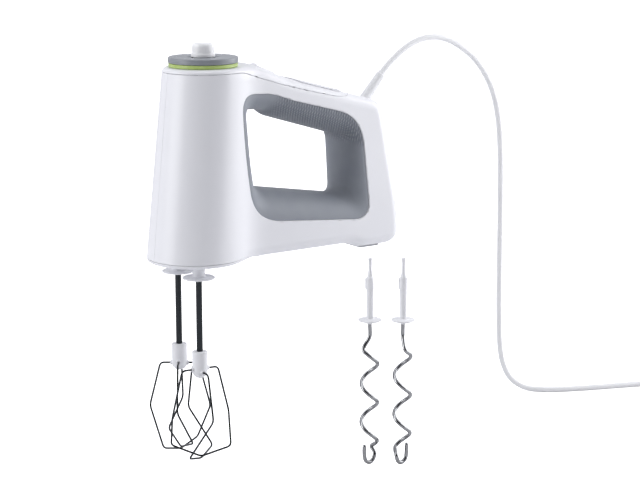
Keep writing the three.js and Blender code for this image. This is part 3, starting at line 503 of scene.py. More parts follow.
def coil_route():
    """Two turns inwards on the surface, then two turns outwards on top of them."""
    line = []
    for k in range(int(COIL_TURNS * COIL_STEPS) + 2):
        turn = min(k / COIL_STEPS, COIL_TURNS)
        angle = COIL_START - 2 * math.pi * turn
        if turn < 2:
            radius = COIL_OUTER - (COIL_OUTER - COIL_INNER) * turn / 2
        else:
            share = max(turn - 2.05, 0) / (COIL_TURNS - 2.05)
            radius = COIL_INNER + (COIL_OUTER - COIL_INNER) * share
        rise = 2 * CORD_RADIUS * smooth_step(1.82, 2.2, turn)
        line.append((
            COIL_CENTRE[0] + radius * math.cos(angle),
            COIL_CENTRE[1] + radius * math.sin(angle), FLOOR_CORD + rise))
    return line


def smooth_step(low, high, x):
    t = np.clip((x - low) / (high - low), 0, 1)
    return t * t * (3 - 2 * t)


def loft(name, sections, outline_power=0.6, sides=40, at=(0, 0, 0)):
    """Closed body through rounded sections of half width and half height along Y."""
    points = []
    for y, half_width, half_height in sections:
        for k in range(sides):
            angle = 2 * math.pi * k / sides
            c, s = math.cos(angle), math.sin(angle)
            points.append((
                half_width * math.copysign(abs(c) ** outline_power, c), y,
                half_height * math.copysign(abs(s) ** outline_power, s)))
    spots = place_all(np.array(points) + np.array(at))
    thing = mesh_object(name, spots, capped_faces(len(sections), sides))
    soften_corners(thing, 40)
    return thing


def band(name, loop, width_axis, width, thickness):
    """Closed flat band round a loop of points, as wide as given along width_axis."""
    loop = np.asarray(loop, float)
    ahead = np.roll(loop, -1, axis=0) - np.roll(loop, 1, axis=0)
    ahead /= np.linalg.norm(ahead, axis=1)[:, None]
    side = np.asarray(width_axis, float)
    out = np.cross(side, ahead)
    half, thick, corner = width / 2, thickness / 2, 0.25
    ring = [
        (-half + corner, thick), (half - corner, thick), (half, thick - corner),
        (half, corner - thick), (half - corner, -thick), (-half + corner, -thick),
        (-half, corner - thick), (-half, thick - corner),
    ]
    points = [p + side * u + o * v for p, o in zip(loop, out) for u, v in ring]
    thing = mesh_object(name, place_all(points), ring_faces(len(loop), len(ring), True))
    soften_corners(thing, 50)
    return thing


def build_cord():
    route = LEAD_ROUTE + coil_route() + TAIL_ROUTE
    line = resample(catmull(route, 14), 1.8)
    cord = sweep("mains_cord", line, CORD_RADIUS, 20)
    relief_piece = lathe("cord_strain_relief", rounded([
        (0, -9), (6.2, -9), (6.2, -7), (4.6, -7), (4.55, 0), (4.25, 10), (3.85, 23.2),
        (3.85, 24.4), (3.2, 24.7), (3.05, RELIEF_LENGTH), (2.5, RELIEF_LENGTH), (2.5, 20), (0, 20),
    ], 0.35), 48, RELIEF_START, axis=RELIEF_AXIS)
    out = np.array([math.cos(math.radians(-45)), math.sin(math.radians(-45)), 0])
    loop = rounded([
        COIL_3D + out * (25 + u) + np.array([0, 0, v])
        for u, v in ((-8.6, -2.1), (8.6, -2.1), (8.6, 8.4), (-8.6, 8.4))], 3.4, 6, True)
    tie = band("cord_tie_band", loop, np.cross(out, [0, 0, 1]), 4.2, 0.8)
    outward(tie)
    plug = outward(loft("mains_plug", PLUG_SECTIONS, 0.6, 48, PLUG_SPOT))
    grips = [
        outward(sweep(f"plug_grip_rib_{'left' if side < 0 else 'right'}_{n}", [
            PLUG_SPOT + np.array([side * (12.9 - 0.012 * (k - 4) ** 2), -25 - 2 * n, (k - 4) * 0.9])
            for k in range(9)], 0.45, 10, True))
        for side in (-1, 1) for n in range(5)]
    pins = []
    for number in (1, 2):
        low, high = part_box(f"plug_pin_{number}")
        x = ((low.x + high.x) / 2) / MM + GRIP[0]
        root = (x, PLUG_SPOT[1] - 36, PLUG_SPOT[2])
        metal = lathe(f"plug_contact_{number}", rounded([
            (0, -1), (PIN_RADIUS - 0.25, -1), (PIN_RADIUS - 0.25, PIN_SLEEVE),
            (PIN_RADIUS, PIN_SLEEVE + 0.2), (PIN_RADIUS, PIN_LENGTH - 1),
            (PIN_RADIUS - 1, PIN_LENGTH), (0, PIN_LENGTH)], 0.3), 32, root, axis=(0, -1, 0))
        sleeve = lathe(f"plug_contact_sleeve_{number}", [
            (PIN_RADIUS - 0.24, -1), (PIN_RADIUS, -1), (PIN_RADIUS, PIN_SLEEVE),
            (PIN_RADIUS - 0.24, PIN_SLEEVE)], 32, root, axis=(0, -1, 0), closed=True)
        shown(metal, "housing", "steel", f"plug_pin_{number}")
        shown(sleeve, "housing", "dark_plastic")
        paint(STEEL, metal)
        paint(DARK, sleeve)
        pins += [metal, sleeve]
    shown(cord, "housing", "cord_white", "cord_lead", "cord_coil", "cord_tail")
    shown(relief_piece, "housing", "cord_white", "strain_relief")
    shown(tie, "housing", "cord_white", "cord_tie")
    shown(plug, "housing", "cord_white", "plug_body")
    for rib in grips:
        shown(rib, "housing", "cord_white")
    paint(CORD, cord, relief_piece, plug, *grips)
    paint(TOOL_WHITE, tie)


build_cord()


# ---------- the housing's outer surface, as a distance field in millimetres ----------

TOWER_TOP = 153.0
TOWER_BASE = (-10.2, 38.0, 39.2)
TOWER_HEAD = (0.0, 32.0, 32.0)
FRAME_HALF_WIDTH = 25.0
FRAME_EDGE = 9.5
BLEND = 24.0
BASE_SEAM = 3.0
SEAM_Z = 149.5
FRAME_OUTLINE = [
    (-4, 152, 3), (43, 151.6, 12), (62, 142.6, 14), (160, 116.4, 10), (178.5, 27, 20),
    (180, -4.5, 15), (139, -4.5, 5), (128, 0, 6), (-4, 0, 3),
]
COVER_SEAM = [
    (-60, SEAM_Z), (20, SEAM_Z), (34, 144.4), (65, 135.2), (98, 127.1), (113, 123.8), (124, 123.3),
    (132, 127), (200, 180),
]
OPENING_SIDE = [
    (15.8, 132.6, 17), (50, 129.9, 8), (68, 123.5, 8), (136.4, 105.9, 24), (146.5, 19.6, 17),
    (30.5, 30.3, 26), (19.9, 84, 20),
]
OPENING_MIDDLE = [
    (27.5, 117, 9), (50.5, 116, 3), (56, 110.4, 3), (127.2, 89.2, 8), (127.5, 40.5, 11),
    (37.5, 55.3, 9), (31.5, 85, 10),
]
INLAY_MIDDLE, INLAY_HALF, INLAY_CORNER = 97.0, (30.5, 19.6), 15.0
INLAY_RAISED = 1.1
BOSSES = [(29, 127), (152, 103), (163, 12)]
WELL_RADIUS = 3.3
LINER_EDGE = 0.15
TOOL_X, TOOL_Y = -16.5, 15.5
TOOL_HOLE = 6.6
DIAL_HOLE = 10.4
TURBO_SPOT = (51.5, 146.9)
TURBO_TILT = math.radians(21.4)
TURBO_CUT_HALF, TURBO_CUT_CORNER = (12.2, 12.9), 6.6
TURBO_PAD_HALF, TURBO_PAD_CORNER = (11.1, 11.8), 5.6
TOP_EDGE, BOTTOM_EDGE = 3.6, 3.0
WALL = 2.0
PIECE_EDGE = 0.42
GRID_STEP = 1.35


def outline(corners, steps=8):
    return rounded([c[:2] for c in corners], [c[2] for c in corners], steps, True)


def distance_to_outline(points, line):
    """Signed distance in the plane to a closed outline, negative inside."""
    out = np.empty(len(points))
    start, end = line, np.roll(line, -1, axis=0)
    run = end - start
    size = (run ** 2).sum(axis=1)
    keep = size > 1e-12
    start, end, run, size = start[keep], end[keep], run[keep], size[keep]
    for low in range(0, len(points), 20000):
        p = points[low:low + 20000]
        rel = p[:, None, :] - start[None]
        t = np.clip((rel * run[None]).sum(axis=2) / size, 0, 1)
        near = rel - t[..., None] * run[None]
        gap = np.sqrt((near ** 2).sum(axis=2).min(axis=1))
        above = (start[None, :, 1] > p[:, None, 1]) != (end[None, :, 1] > p[:, None, 1])
        rise = np.where(np.abs(run[:, 1]) < 1e-9, 1e-9, run[:, 1])
        cross = start[:, 0] + (p[:, None, 1] - start[:, 1]) / rise * run[:, 0]
        odd = (above & (p[:, None, 0] < cross)).sum(axis=1) % 2
        out[low:low + 20000] = np.where(odd == 1, -gap, gap)
    return out


FRAME_LINE = outline(FRAME_OUTLINE)
OPENING_LINE = outline(OPENING_SIDE, 12)


def smooth_min(a, b, k):
    h = np.clip(k - np.abs(a - b), 0, None) / k
    return np.minimum(a, b) - h ** 3 * k / 6


def round_meet(a, b, r):
    """Distance to the space that two others share, with its edge rounded to r."""
    a, b = a + r, b + r
    return np.minimum(np.maximum(a, b), 0) + np.hypot(np.maximum(a, 0), np.maximum(b, 0)) - r


def housing_distance(p, flat_distance=None):
    x, y, z = p[:, 0], p[:, 1], p[:, 2]
    t = z / TOWER_TOP
    centre, along, across = [b + (h - b) * t for b, h in zip(TOWER_BASE, TOWER_HEAD)]
    u, v = (x - centre) / along, y / across
    q = np.sqrt(u * u + v * v) + 1e-9
    tower = (q - 1) * q / np.sqrt((u / along) ** 2 + (v / across) ** 2 + 1e-12)
    if flat_distance is None:
        flat_distance = distance_to_outline(p[:, [0, 2]], FRAME_LINE)
    bar = round_meet(flat_distance, np.abs(y) - FRAME_HALF_WIDTH, FRAME_EDGE)
    body = smooth_min(tower, bar, BLEND)
    top = z - TOWER_TOP - 12 * smooth_step(30, 54, x)
    bottom = -z - 12 * smooth_step(30, 60, x)
    return round_meet(round_meet(body, top, TOP_EDGE), bottom, BOTTOM_EDGE)


def gradient(function, p, step=0.02):
    out = np.empty_like(p)
    for k in range(3):
        shift = np.zeros(3)
        shift[k] = step
        out[:, k] = (function(p + shift) - function(p - shift)) / (2 * step)
    return out


def onto_housing(p, rounds=3):
    """Moves points along the field's slope until they lie on the surface."""
    for _ in range(rounds):
        slope = gradient(housing_distance, p)
        p = p - housing_distance(p)[:, None] * slope / (slope ** 2).sum(axis=1)[:, None]
    return p


def housing_normals(p):
    slope = gradient(housing_distance, p)
    return slope / np.linalg.norm(slope, axis=1)[:, None]


def surface_net(low, high, step):
    """Quads over the field's zero surface, one point in each grid cell that it crosses."""
    axes = [np.arange(a, b + step, step) for a, b in zip(low, high)]
    nx, ny, nz = [len(a) for a in axes]
    gx, gz = np.meshgrid(axes[0], axes[2], indexing="ij")
    flat = distance_to_outline(np.column_stack([gx.ravel(), gz.ravel()]), FRAME_LINE)
    flat = np.repeat(flat.reshape(nx, 1, nz), ny, axis=1)
    grid = np.stack(np.meshgrid(*axes, indexing="ij"), axis=-1).reshape(-1, 3)
    field = housing_distance(grid, flat.ravel()).reshape(nx, ny, nz)
    inside = field < 0
    corner = [(i, j, k) for i in (0, 1) for j in (0, 1) for k in (0, 1)]

    def view(a, c):
        return a[c[0]:nx - 1 + c[0], c[1]:ny - 1 + c[1], c[2]:nz - 1 + c[2]]

    count = sum(view(inside, c).astype(int) for c in corner)
    cells = np.argwhere((count > 0) & (count < 8))
    index = -np.ones((nx - 1, ny - 1, nz - 1), int)
    index[tuple(cells.T)] = np.arange(len(cells))
    total = np.zeros((len(cells), 3))
    hits = np.zeros(len(cells))
    for a in corner:
        for k in range(3):
            if a[k]:
                continue
            b = tuple(c + (n == k) for n, c in enumerate(a))
            va = field[tuple((cells + a).T)]
            vb = field[tuple((cells + b).T)]
            crossed = (va < 0) != (vb < 0)
            t = np.where(crossed, va / np.where(crossed, va - vb, 1), 0)
            spot = cells + np.array(a) + t[:, None] * (np.arange(3) == k)
            total[crossed] += spot[crossed]
            hits[crossed] += 1
    points = np.array(low) + step * total / hits[:, None]
    faces = []
    for k in range(3):
        m, n = [a for a in range(3) if a != k]
        a = np.take(inside, range(inside.shape[k] - 1), axis=k)
        b = np.take(inside, range(1, inside.shape[k]), axis=k)
        spots = np.argwhere(a != b)
        spots = spots[(spots[:, m] > 0) & (spots[:, n] > 0)]
        spots = spots[(spots[:, m] < index.shape[m]) & (spots[:, n] < index.shape[n])]
        leaving = a[tuple(spots.T)]
        ring = []
        for dm, dn in ((-1, -1), (0, -1), (0, 0), (-1, 0)):
            cell = spots.copy()
            cell[:, m] += dm
            cell[:, n] += dn
            ring.append(index[tuple(cell.T)])
        quad = np.stack(ring, axis=1)
        flip = leaving if k == 1 else ~leaving
        quad[flip] = quad[flip][:, ::-1]
        faces.append(quad)
    return points, np.vstack(faces)


def relax(points, faces, rounds=6):
    """Evens out the quads along the surface, and keeps the points on it."""
    for _ in range(rounds):
        total = np.zeros_like(points)
        hits = np.zeros(len(points))
        for a in range(4):
            near, far = faces[:, a], faces[:, (a + 1) % 4]
            np.add.at(total, near, points[far])
            np.add.at(total, far, points[near])
            np.add.at(hits, near, 1)
            np.add.at(hits, far, 1)
        mean = total / np.maximum(hits, 1)[:, None]
        points = onto_housing(0.5 * points + 0.5 * mean, 1)
    return onto_housing(points, 2)


# ---------- cutting the surface into its pieces ----------

def seam_height(x):
    line = rounded(COVER_SEAM, [0, 10, 10, 10, 10, 5, 4, 3, 0], 6)
    return np.interp(x, line[:, 0], line[:, 1])


def cover_side(p):
    return p[:, 2] - seam_height(p[:, 0])


def base_side(p):
    centre, along, across = TOWER_BASE
    reach = np.hypot((p[:, 0] - centre) / along, p[:, 1] / across)
    return np.maximum(p[:, 2] - BASE_SEAM, (reach - 1) * along - 4)


def opening_side(p):
    return distance_to_outline(p[:, [0, 2]], OPENING_LINE) - LINER_EDGE


def rounded_box_distance(u, v, half_u, half_v, radius):
    a, b = np.abs(u) - half_u + radius, np.abs(v) - half_v + radius
    return np.minimum(np.maximum(a, b), 0) + np.hypot(np.maximum(a, 0), np.maximum(b, 0)) - radius


def inlay_side(p):
    gap = rounded_box_distance(p[:, 0] - INLAY_MIDDLE, p[:, 1], *INLAY_HALF, INLAY_CORNER)
    return np.where(p[:, 2] > 100, gap, 50.0)


def turbo_side(p):
    u = (p[:, 0] - TURBO_SPOT[0]) / math.cos(TURBO_TILT)
    gap = rounded_box_distance(u, p[:, 1], *TURBO_CUT_HALF, TURBO_CUT_CORNER)
    return np.where(p[:, 2] > 100, gap, 50.0)


def tool_hole_side(p):
    gap = np.hypot(p[:, 0] - TOOL_X, p[:, 1] - TOOL_Y) - TOOL_HOLE
    return np.where(p[:, 2] < 1.5, gap, 50.0)


def dial_hole_side(p):
    return np.where(p[:, 2] > 151, np.hypot(p[:, 0], p[:, 1]) - DIAL_HOLE, 50.0)


def well_side(p):
    return np.min([np.hypot(p[:, 0] - x, p[:, 2] - z) for x, z in BOSSES], axis=0) - WELL_RADIUS


def cut_along(mesh, side, snap, keep_off=None):
    """Puts a line of points where side() is zero, moving close points onto it."""
    mesh.verts.ensure_lookup_table()
    points = np.array([v.co[:] for v in mesh.verts])

    def along_surface(p):
        normal = housing_normals(p)
        slope = gradient(side, p)
        return slope - normal * (slope * normal).sum(axis=1)[:, None]

    values = side(points)
    near = np.abs(values) < 4 * GRID_STEP
    slope = along_surface(points[near])
    size = np.linalg.norm(slope, axis=1)
    close = np.zeros(len(points), bool)
    close[near] = np.abs(values[near]) < snap * np.maximum(size, 1e-6)
    if keep_off is not None:
        close &= np.abs(keep_off(points)) > 1e-4

    def settle(p):
        for _ in range(4):
            slope = along_surface(p)
            p = p - side(p)[:, None] * slope / np.maximum((slope ** 2).sum(axis=1), 1e-9)[:, None]
            p = onto_housing(p, 1)
        return p

    points[close] = settle(points[close])
    for i in np.flatnonzero(close):
        mesh.verts[i].co = points[i]
    values[close] = 0
    on_line = [mesh.verts[i] for i in np.flatnonzero(close)]
    crossing = [
        e for e in mesh.edges
        if values[e.verts[0].index] * values[e.verts[1].index] < 0
    ]
    fresh = []
    for e in crossing:
        a, b = e.verts
        t = values[a.index] / (values[a.index] - values[b.index])
        fresh.append(bmesh.utils.edge_split(e, a, t)[1])
    if fresh:
        spots = settle(np.array([v.co[:] for v in fresh]))
        for v, spot in zip(fresh, spots):
            v.co = spot
    bmesh.ops.connect_verts(mesh, verts=on_line + fresh)
    mesh.verts.index_update()


def housing_halves():
    """The left half of the housing's surface, cut along every seam and edge."""
    points, faces = surface_net((-54, -3 * GRID_STEP, -10), (188, 44, 158), GRID_STEP)
    points = relax(onto_housing(points), faces)
    mesh = bmesh.new()
    verts = [mesh.verts.new(p) for p in points]
    for face in faces:
        mesh.faces.new([verts[i] for i in face])
    mesh.verts.index_update()
    snap = 0.4 * GRID_STEP
    cut_along(mesh, lambda p: p[:, 1], snap)
    far = [v for v in mesh.verts if v.co.y < -1e-4]
    bmesh.ops.delete(mesh, geom=far, context="VERTS")
    mesh.verts.index_update()
    middle = (lambda p: np.where(np.abs(p[:, 1]) < 1e-3, 0.0, 1.0))
    cut_along(mesh, base_side, snap, middle)
    cut_along(mesh, cover_side, snap, middle)
    cut_along(mesh, opening_side, snap)
    cut_along(mesh, inlay_side, snap, middle)
    cut_along(mesh, turbo_side, snap, middle)
    cut_along(mesh, tool_hole_side, snap)
    cut_along(mesh, dial_hole_side, snap)
    cut_along(mesh, well_side, snap)
    mesh.verts.index_update()
    points = np.array([v.co[:] for v in mesh.verts])
    points[np.abs(points[:, 1]) < 1e-3, 1] = 0
    faces = [[v.index for v in f.verts] for f in mesh.faces]
    mesh.free()
    return points, faces


def piece_faces(points, faces, keep, both):
    """Faces whose middle satisfies keep(); with both, the mirror image is joined on."""
    middles = np.array([points[f].mean(axis=0) for f in faces])
    chosen = [f for f, k in zip(faces, keep(middles)) if k]
    if not both:
        return points, chosen
    count = len(points)
    mirror = np.arange(count) + count
    mirror[points[:, 1] == 0] = np.flatnonzero(points[:, 1] == 0)
    everything = np.vstack([points, points * [1, -1, 1]])
    return everything, chosen + [[int(mirror[i]) for i in f][::-1] for f in chosen]


def shell_piece(name, points, faces, thickness, edge, gap=0.1, raised=None):
    """Closed shell under a patch of the surface, with its outer edges rounded over."""
    used = sorted({i for f in faces for i in f})
    renumber = {old: new for new, old in enumerate(used)}
    faces = [[renumber[i] for i in f] for f in faces]
    top = points[used].copy()
    normals = housing_normals(top)
    seen = {}
    for f in faces:
        for a, b in zip(f, f[1:] + f[:1]):
            seen[(a, b)] = True
    rim = [(a, b) for a, b in seen if (b, a) not in seen]
    outward = np.zeros_like(top)
    for a, b in rim:
        side = np.cross(top[b] - top[a], normals[a] + normals[b])
        side /= max(np.linalg.norm(side), 1e-9)
        outward[a] += side
        outward[b] += side
    rim_points = sorted({i for pair in rim for i in pair})
    out = outward[rim_points]
    n = normals[rim_points]
    out -= n * (out * n).sum(axis=1)[:, None]
    out /= np.maximum(np.linalg.norm(out, axis=1), 1e-9)[:, None]
    radius = edge(top[rim_points]) if callable(edge) else np.full(len(rim_points), edge)
    corner = top[rim_points] - out * gap
    inner = top - normals * thickness
    start = corner - out * radius[:, None]
    top[rim_points] = start
    if raised is not None:
        lift = raised(top)[:, None] * normals
        top = top + lift
        start = start + lift[rim_points]
        corner = corner + lift[rim_points]
    rows = [np.array(rim_points)]
    rings, ring_normals = [], []
    for angle in np.radians([30, 60, 90]):
        rings.append(start + radius[:, None] * (out * math.sin(angle) - n * (1 - math.cos(angle))))
        ring_normals.append(n * math.cos(angle) + out * math.sin(angle))
    inner[rim_points] = corner - n * thickness
    total = len(top)
    for k in range(3):
        rows.append(np.arange(len(rim_points)) + total + k * len(rim_points))
    inner_start = total + 3 * len(rim_points)
    rows.append(np.array(rim_points) + inner_start)
    spot = {v: i for i, v in enumerate(rim_points)}
    every = faces + [[i + inner_start for i in f][::-1] for f in faces]
    for a, b in rim:
        i, j = spot[a], spot[b]
        for low, high in zip(rows, rows[1:]):
            every.append([int(low[j]), int(low[i]), int(high[i]), int(high[j])])
    spots = np.vstack([top] + rings + [inner])
    directions = np.vstack([normals] + ring_normals + [-normals])
    return mesh_object(name, place_all(spots), every, True, directions)


SIDE_POINTS, SIDE_FACES = housing_halves()


def rim_radius(p):
    """How far each part of an edge is rounded: most at the finger opening."""
    radius = np.full(len(p), PIECE_EDGE)
    radius[np.abs(p[:, 1]) < 0.5] = 0.05
    radius[np.abs(opening_side(p)) < 1.6] = 0.85
    return radius


def in_cover(p):
    return (cover_side(p) > 0) & (p[:, 2] > 50)


def in_shell(p):
    return (cover_side(p) < 0) & (base_side(p) > 0) & (opening_side(p) > 0)


def build_housing():
    left_points, left_faces = piece_faces(
        SIDE_POINTS, SIDE_FACES, lambda p: in_shell(p) & (well_side(p) > 0), False)
    left = shell_piece("left_housing_shell", left_points, left_faces, WALL, rim_radius)
    right_points, right_faces = piece_faces(SIDE_POINTS, SIDE_FACES, in_shell, False)
    mirrored = right_points * [1, -1, 1]
    right = shell_piece(
        "right_housing_shell", mirrored, [f[::-1] for f in right_faces], WALL, rim_radius)
    cover = shell_piece(
        "top_housing_cover",
        *piece_faces(
            SIDE_POINTS, SIDE_FACES,
            lambda p: in_cover(p) & (inlay_side(p) > 0) & (turbo_side(p) > 0)
            & (dial_hole_side(p) > 0), True),
        WALL, PIECE_EDGE)
    inlay = shell_piece(
        "handle_inlay_pad",
        *piece_faces(SIDE_POINTS, SIDE_FACES, lambda p: in_cover(p) & (inlay_side(p) < 0), True),
        1.4, 0.5, 0.3, raised=lambda p: INLAY_RAISED - 0.5 * smooth_step(2.5, 0, -inlay_side(p)))
    base = shell_piece(
        "base_cover",
        *piece_faces(
            SIDE_POINTS, SIDE_FACES,
            lambda p: (base_side(p) < 0) & (tool_hole_side(p) > 0), True),
        2.4, 0.35)
    shown(left, "housing", "white_plastic", "left_shell")
    shown(right, "housing", "white_plastic", "right_shell")
    shown(cover, "housing", "white_plastic", "top_cover")
    shown(inlay, "housing", "white_plastic", "handle_inlay")
    shown(base, "housing", "white_plastic", "base_plate")
    paint(WHITE, left, right, cover, inlay, base)


build_housing()


# ---------- soft liner of the finger opening ----------

def opening_row(corners, outset):
    """Outline of the opening through its corners, widened all round."""
    line = outline(corners, 14)
    if outset:
        ahead = np.roll(line, -1, axis=0) - np.roll(line, 1, axis=0)
        ahead /= np.maximum(np.linalg.norm(ahead, axis=1), 1e-9)[:, None]
        area = 0.5 * (line[:, 0] * np.roll(line[:, 1], -1)
                      - np.roll(line[:, 0], -1) * line[:, 1]).sum()
        normal = np.column_stack([ahead[:, 1], -ahead[:, 0]]) * np.sign(area)
        line = line + normal * outset
    return subdivide(line, 3)


def subdivide(line, parts):
    nearby = np.roll(line, -1, axis=0)
    steps = np.arange(parts) / parts
    return (line[:, None] + (nearby - line)[:, None] * steps[None, :, None]).reshape(-1, 2)


def side_reach(line):
    """How far out in Y the housing's surface lies at each point of an outline."""
    low, high = np.full(len(line), 12.0), np.full(len(line), 42.0)
    for _ in range(30):
        mid = (low + high) / 2
        inside = housing_distance(np.column_stack([line[:, 0], mid, line[:, 1]])) < 0
        low, high = np.where(inside, mid, low), np.where(inside, high, mid)
    return low


def build_liner():
    rows = 46
    middle, side = opening_row(OPENING_MIDDLE, 0), opening_row(OPENING_SIDE, 0)
    outer_middle, outer_side = opening_row(OPENING_MIDDLE, 1.8), opening_row(OPENING_SIDE, 0.5)
    reach = side_reach(side) - 0.75
    rings = []
    for inner, outer, swap in ((middle, side, 1), (outer_middle, outer_side, -1)):
        for k in range(rows + 1):
            angle = swap * math.pi * (k / rows - 0.5)
            ease = 1 - abs(math.cos(angle))
            line = inner + (outer - inner) * ease
            shrink = 1.0 if swap > 0 else 1 - 1.0 / 24.5
            rings.append(np.column_stack([line[:, 0], reach * math.sin(angle) * shrink, line[:, 1]]))
    faces = ring_faces(len(rings), len(side), True)
    thing = outward(mesh_object("finger_opening_liner", place_all(np.vstack(rings)), faces))
    soften_corners(thing, 40)
    paint(SOFT_GREY, shown(thing, "housing", "soft_grey", "grip_liner"))


build_liner()


# ---------- controls ----------

DIAL_RADIUS, DIAL_BOTTOM, DIAL_TOP = 27.5, 156.4, 160.7
RING_LOW, RING_HIGH = 153.2, 156.1
DIAL_STEPS = 6
DIAL_SPAN = math.radians(200)


def printed(name, text, size, spot, turn):
    """Flat raised characters, as a closed mesh, lying on a level face."""
    data = bpy.data.curves.new(name, "FONT")
    data.body = text
    data.size = size
    data.align_x = data.align_y = "CENTER"
    data.extrude = 0.06
    thing = new_object(name, data)
    bpy.context.view_layer.update()
    mesh = bpy.data.meshes.new_from_object(thing)
    bpy.data.objects.remove(thing)
    turned = Matrix.Rotation(turn, 3, "Z")
    for v in mesh.vertices:
        v.co = Vector(place(np.array(turned @ v.co) + np.array(spot)))
    return new_object(name, mesh)


def build_controls():
    dial = lathe("speed_dial_wheel", rounded([
        (10, DIAL_BOTTOM), (DIAL_RADIUS, DIAL_BOTTOM), (DIAL_RADIUS, DIAL_TOP),
        (12.6, DIAL_TOP), (11.6, DIAL_TOP - 0.8), (10, DIAL_TOP - 0.8)],
        [0.2, 0.5, 0.9, 0.3, 0.2, 0.3], 4, True), 128, degrees=50, closed=True)
    ring = lathe("lime_light_ring", rounded([
        (11, RING_LOW), (27.0, RING_LOW), (27.3, RING_LOW + 0.9), (27.0, RING_LOW + 1.3),
        (27.3, RING_HIGH), (11, RING_HIGH)], [0.1, 0.4, 0.3, 0.2, 0.4, 0.1], 3, True),
        128, degrees=50, closed=True)
    button = lathe("tool_release_button", rounded([
        (0, 136), (4.2, 136), (4.2, 158), (9.4, 160.7), (9.4, 162.9), (8.9, 163.8),
        (8.7, 169.3), (7.6, 171.2), (0, 171.8)],
        [0, 0.3, 0.5, 0.5, 0.5, 0.5, 1.6, 1.4, 0], 5), 96, degrees=50)
    marks = []
    for k in range(DIAL_STEPS):
        angle = math.radians(215) - DIAL_SPAN * k / (DIAL_STEPS - 1)
        spot = (20.6 * math.cos(angle), 20.6 * math.sin(angle), DIAL_TOP + 0.05)
        marks.append(printed(f"dial_number_{k}", str(k), 5.2, spot, angle - math.pi / 2))
    for k in range(DIAL_STEPS - 1):
        angle = math.radians(215) - DIAL_SPAN * (k + 0.5) / (DIAL_STEPS - 1)
        spot = (20.6 * math.cos(angle), 20.6 * math.sin(angle), DIAL_TOP)
        marks.append(lathe(f"dial_dot_{k}", [(0, -0.05), (0.55, -0.05), (0.55, 0.1), (0, 0.1)],
                           16, spot))
    shown(dial, "dial", "dial_grey", "speed_dial")
    shown(ring, "housing", "lime_plastic", "light_ring")
    shown(button, "eject", "white_plastic", "eject_button")
    paint(DIAL_GREY, dial)
    paint(LIME_WITH_PAINTED_GLOW, ring)
    paint(BUTTON_WHITE, button)
    for mark in marks:
        shown(mark, "dial", "white_plastic")
    paint(INK, *marks)


def build_turbo():
    """Domed rocker pad with a small knob at its front end, lying along the slope."""
    half_u, half_v = TURBO_PAD_HALF
    rings = 22
    rim = resample(rounded(
        [(half_u, half_v), (-half_u, half_v), (-half_u, -half_v), (half_u, -half_v)],
        TURBO_PAD_CORNER, 8, True), 0.8, True)
    count = len(rim)
    rows = [rim * (k / rings) for k in range(1, rings + 1)]

    def height(u, v, share):
        dome = 2.4 - 0.5 * share ** 2 - 81 * max(share - 0.9, 0) ** 2
        knob = 1.9 * math.exp(-(math.hypot(u + 5, v) / 3.0) ** 4)
        return dome + knob

    points, faces = [(0, 0, height(0, 0, 0))], []
    for k, row in enumerate(rows):
        share = (k + 1) / rings
        points += [(u, v, height(u, v, share)) for u, v in row]
    for z in (-0.5, -4):
        points += [(u, v, z) for u, v in rim]
    points.append((0, 0, -4))
    for i in range(count):
        faces.append((0, 1 + i, 1 + (i + 1) % count))
    for k in range(rings + 1):
        for i in range(count):
            a, b = 1 + k * count + i, 1 + k * count + (i + 1) % count
            faces.append((a, a + count, b + count, b))
    last = len(points) - 1
    for i in range(count):
        faces.append((last, last - count + (i + 1) % count, last - count + i))
    turn = np.array(Matrix.Rotation(TURBO_TILT, 3, "Y"))
    spots = np.array(points) @ turn.T + np.array([TURBO_SPOT[0], 0, TURBO_SPOT[1]])
    pad = outward(mesh_object("turbo_pad", place_all(spots), faces))
    soften_corners(pad, 50)
    shown(pad, "turbo", "white_plastic", "turbo_button")
    paint(WHITE, pad)
    # Dark grey ring round the pad's foot: painted shadow standing for the shade in the gap round the pad,
    # not a real seal.
    ring = [(0.12, -2.2), (1.15, -2.2), (1.3, 0.1), (1.0, 0.45), (0.45, 0.45), (0.12, 0.1)]
    spots = [(*(p * (1 + out / np.linalg.norm(p))), z) for p in rim for out, z in ring]
    spots = np.array(spots) @ turn.T + np.array([TURBO_SPOT[0], 0, TURBO_SPOT[1]])
    shadow_ring = outward(mesh_object(
        "turbo_pad_painted_shadow_ring", place_all(spots), ring_faces(count, len(ring), True)))
    soften_corners(shadow_ring, 40)
    shown(shadow_ring, "housing", "soft_grey")
    paint(DIAL_GREY, shadow_ring)


def build_foot_and_wells():
    corners = [(142, -17), (163, -17), (163, 17), (142, 17)]
    rim = resample(rounded(corners, 4, 8, True), 1.0, True)
    middle = np.array([152.5, 0])
    low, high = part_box("heel_foot")
    z0, z1 = low.z / MM + GRIP[2], high.z / MM + GRIP[2]
    rows = [(0, z1), (1, z1), (1, z0 + 0.5), (0.985, z0 + 0.15), (0.96, z0), (0, z0)]
    points = [(*(middle + (p - middle) * max(share, 0.02)), z) for share, z in rows for p in rim]
    foot = outward(mesh_object(
        "heel_rest_foot", place_all(points), capped_faces(len(rows), len(rim))))
    soften_corners(foot, 40)
    shown(foot, "housing", "soft_grey", "heel_foot")
    paint(FOOT_GREY, foot)
    for number, (x, z) in enumerate(BOSSES, 1):
        skin = side_reach(np.array([[x, z]]))[0]
        well = lathe(f"screw_well_{number}", [
            (WELL_RADIUS - 0.05, 6), (WELL_RADIUS + 1.2, 6), (WELL_RADIUS + 1.2, skin - 2.2),
            (WELL_RADIUS - 0.05, skin - 2.2)], 40, (x, 0, z), axis=(0, 1, 0), closed=True)
        shown(well, "housing", "white_plastic")
        paint(WHITE, well)


SPRING_LOW, SPRING_HIGH = 144.9, 157.4
SPRING_RADIUS, SPRING_WIRE = 5.8, 0.55
SPRING_TURNS = 6


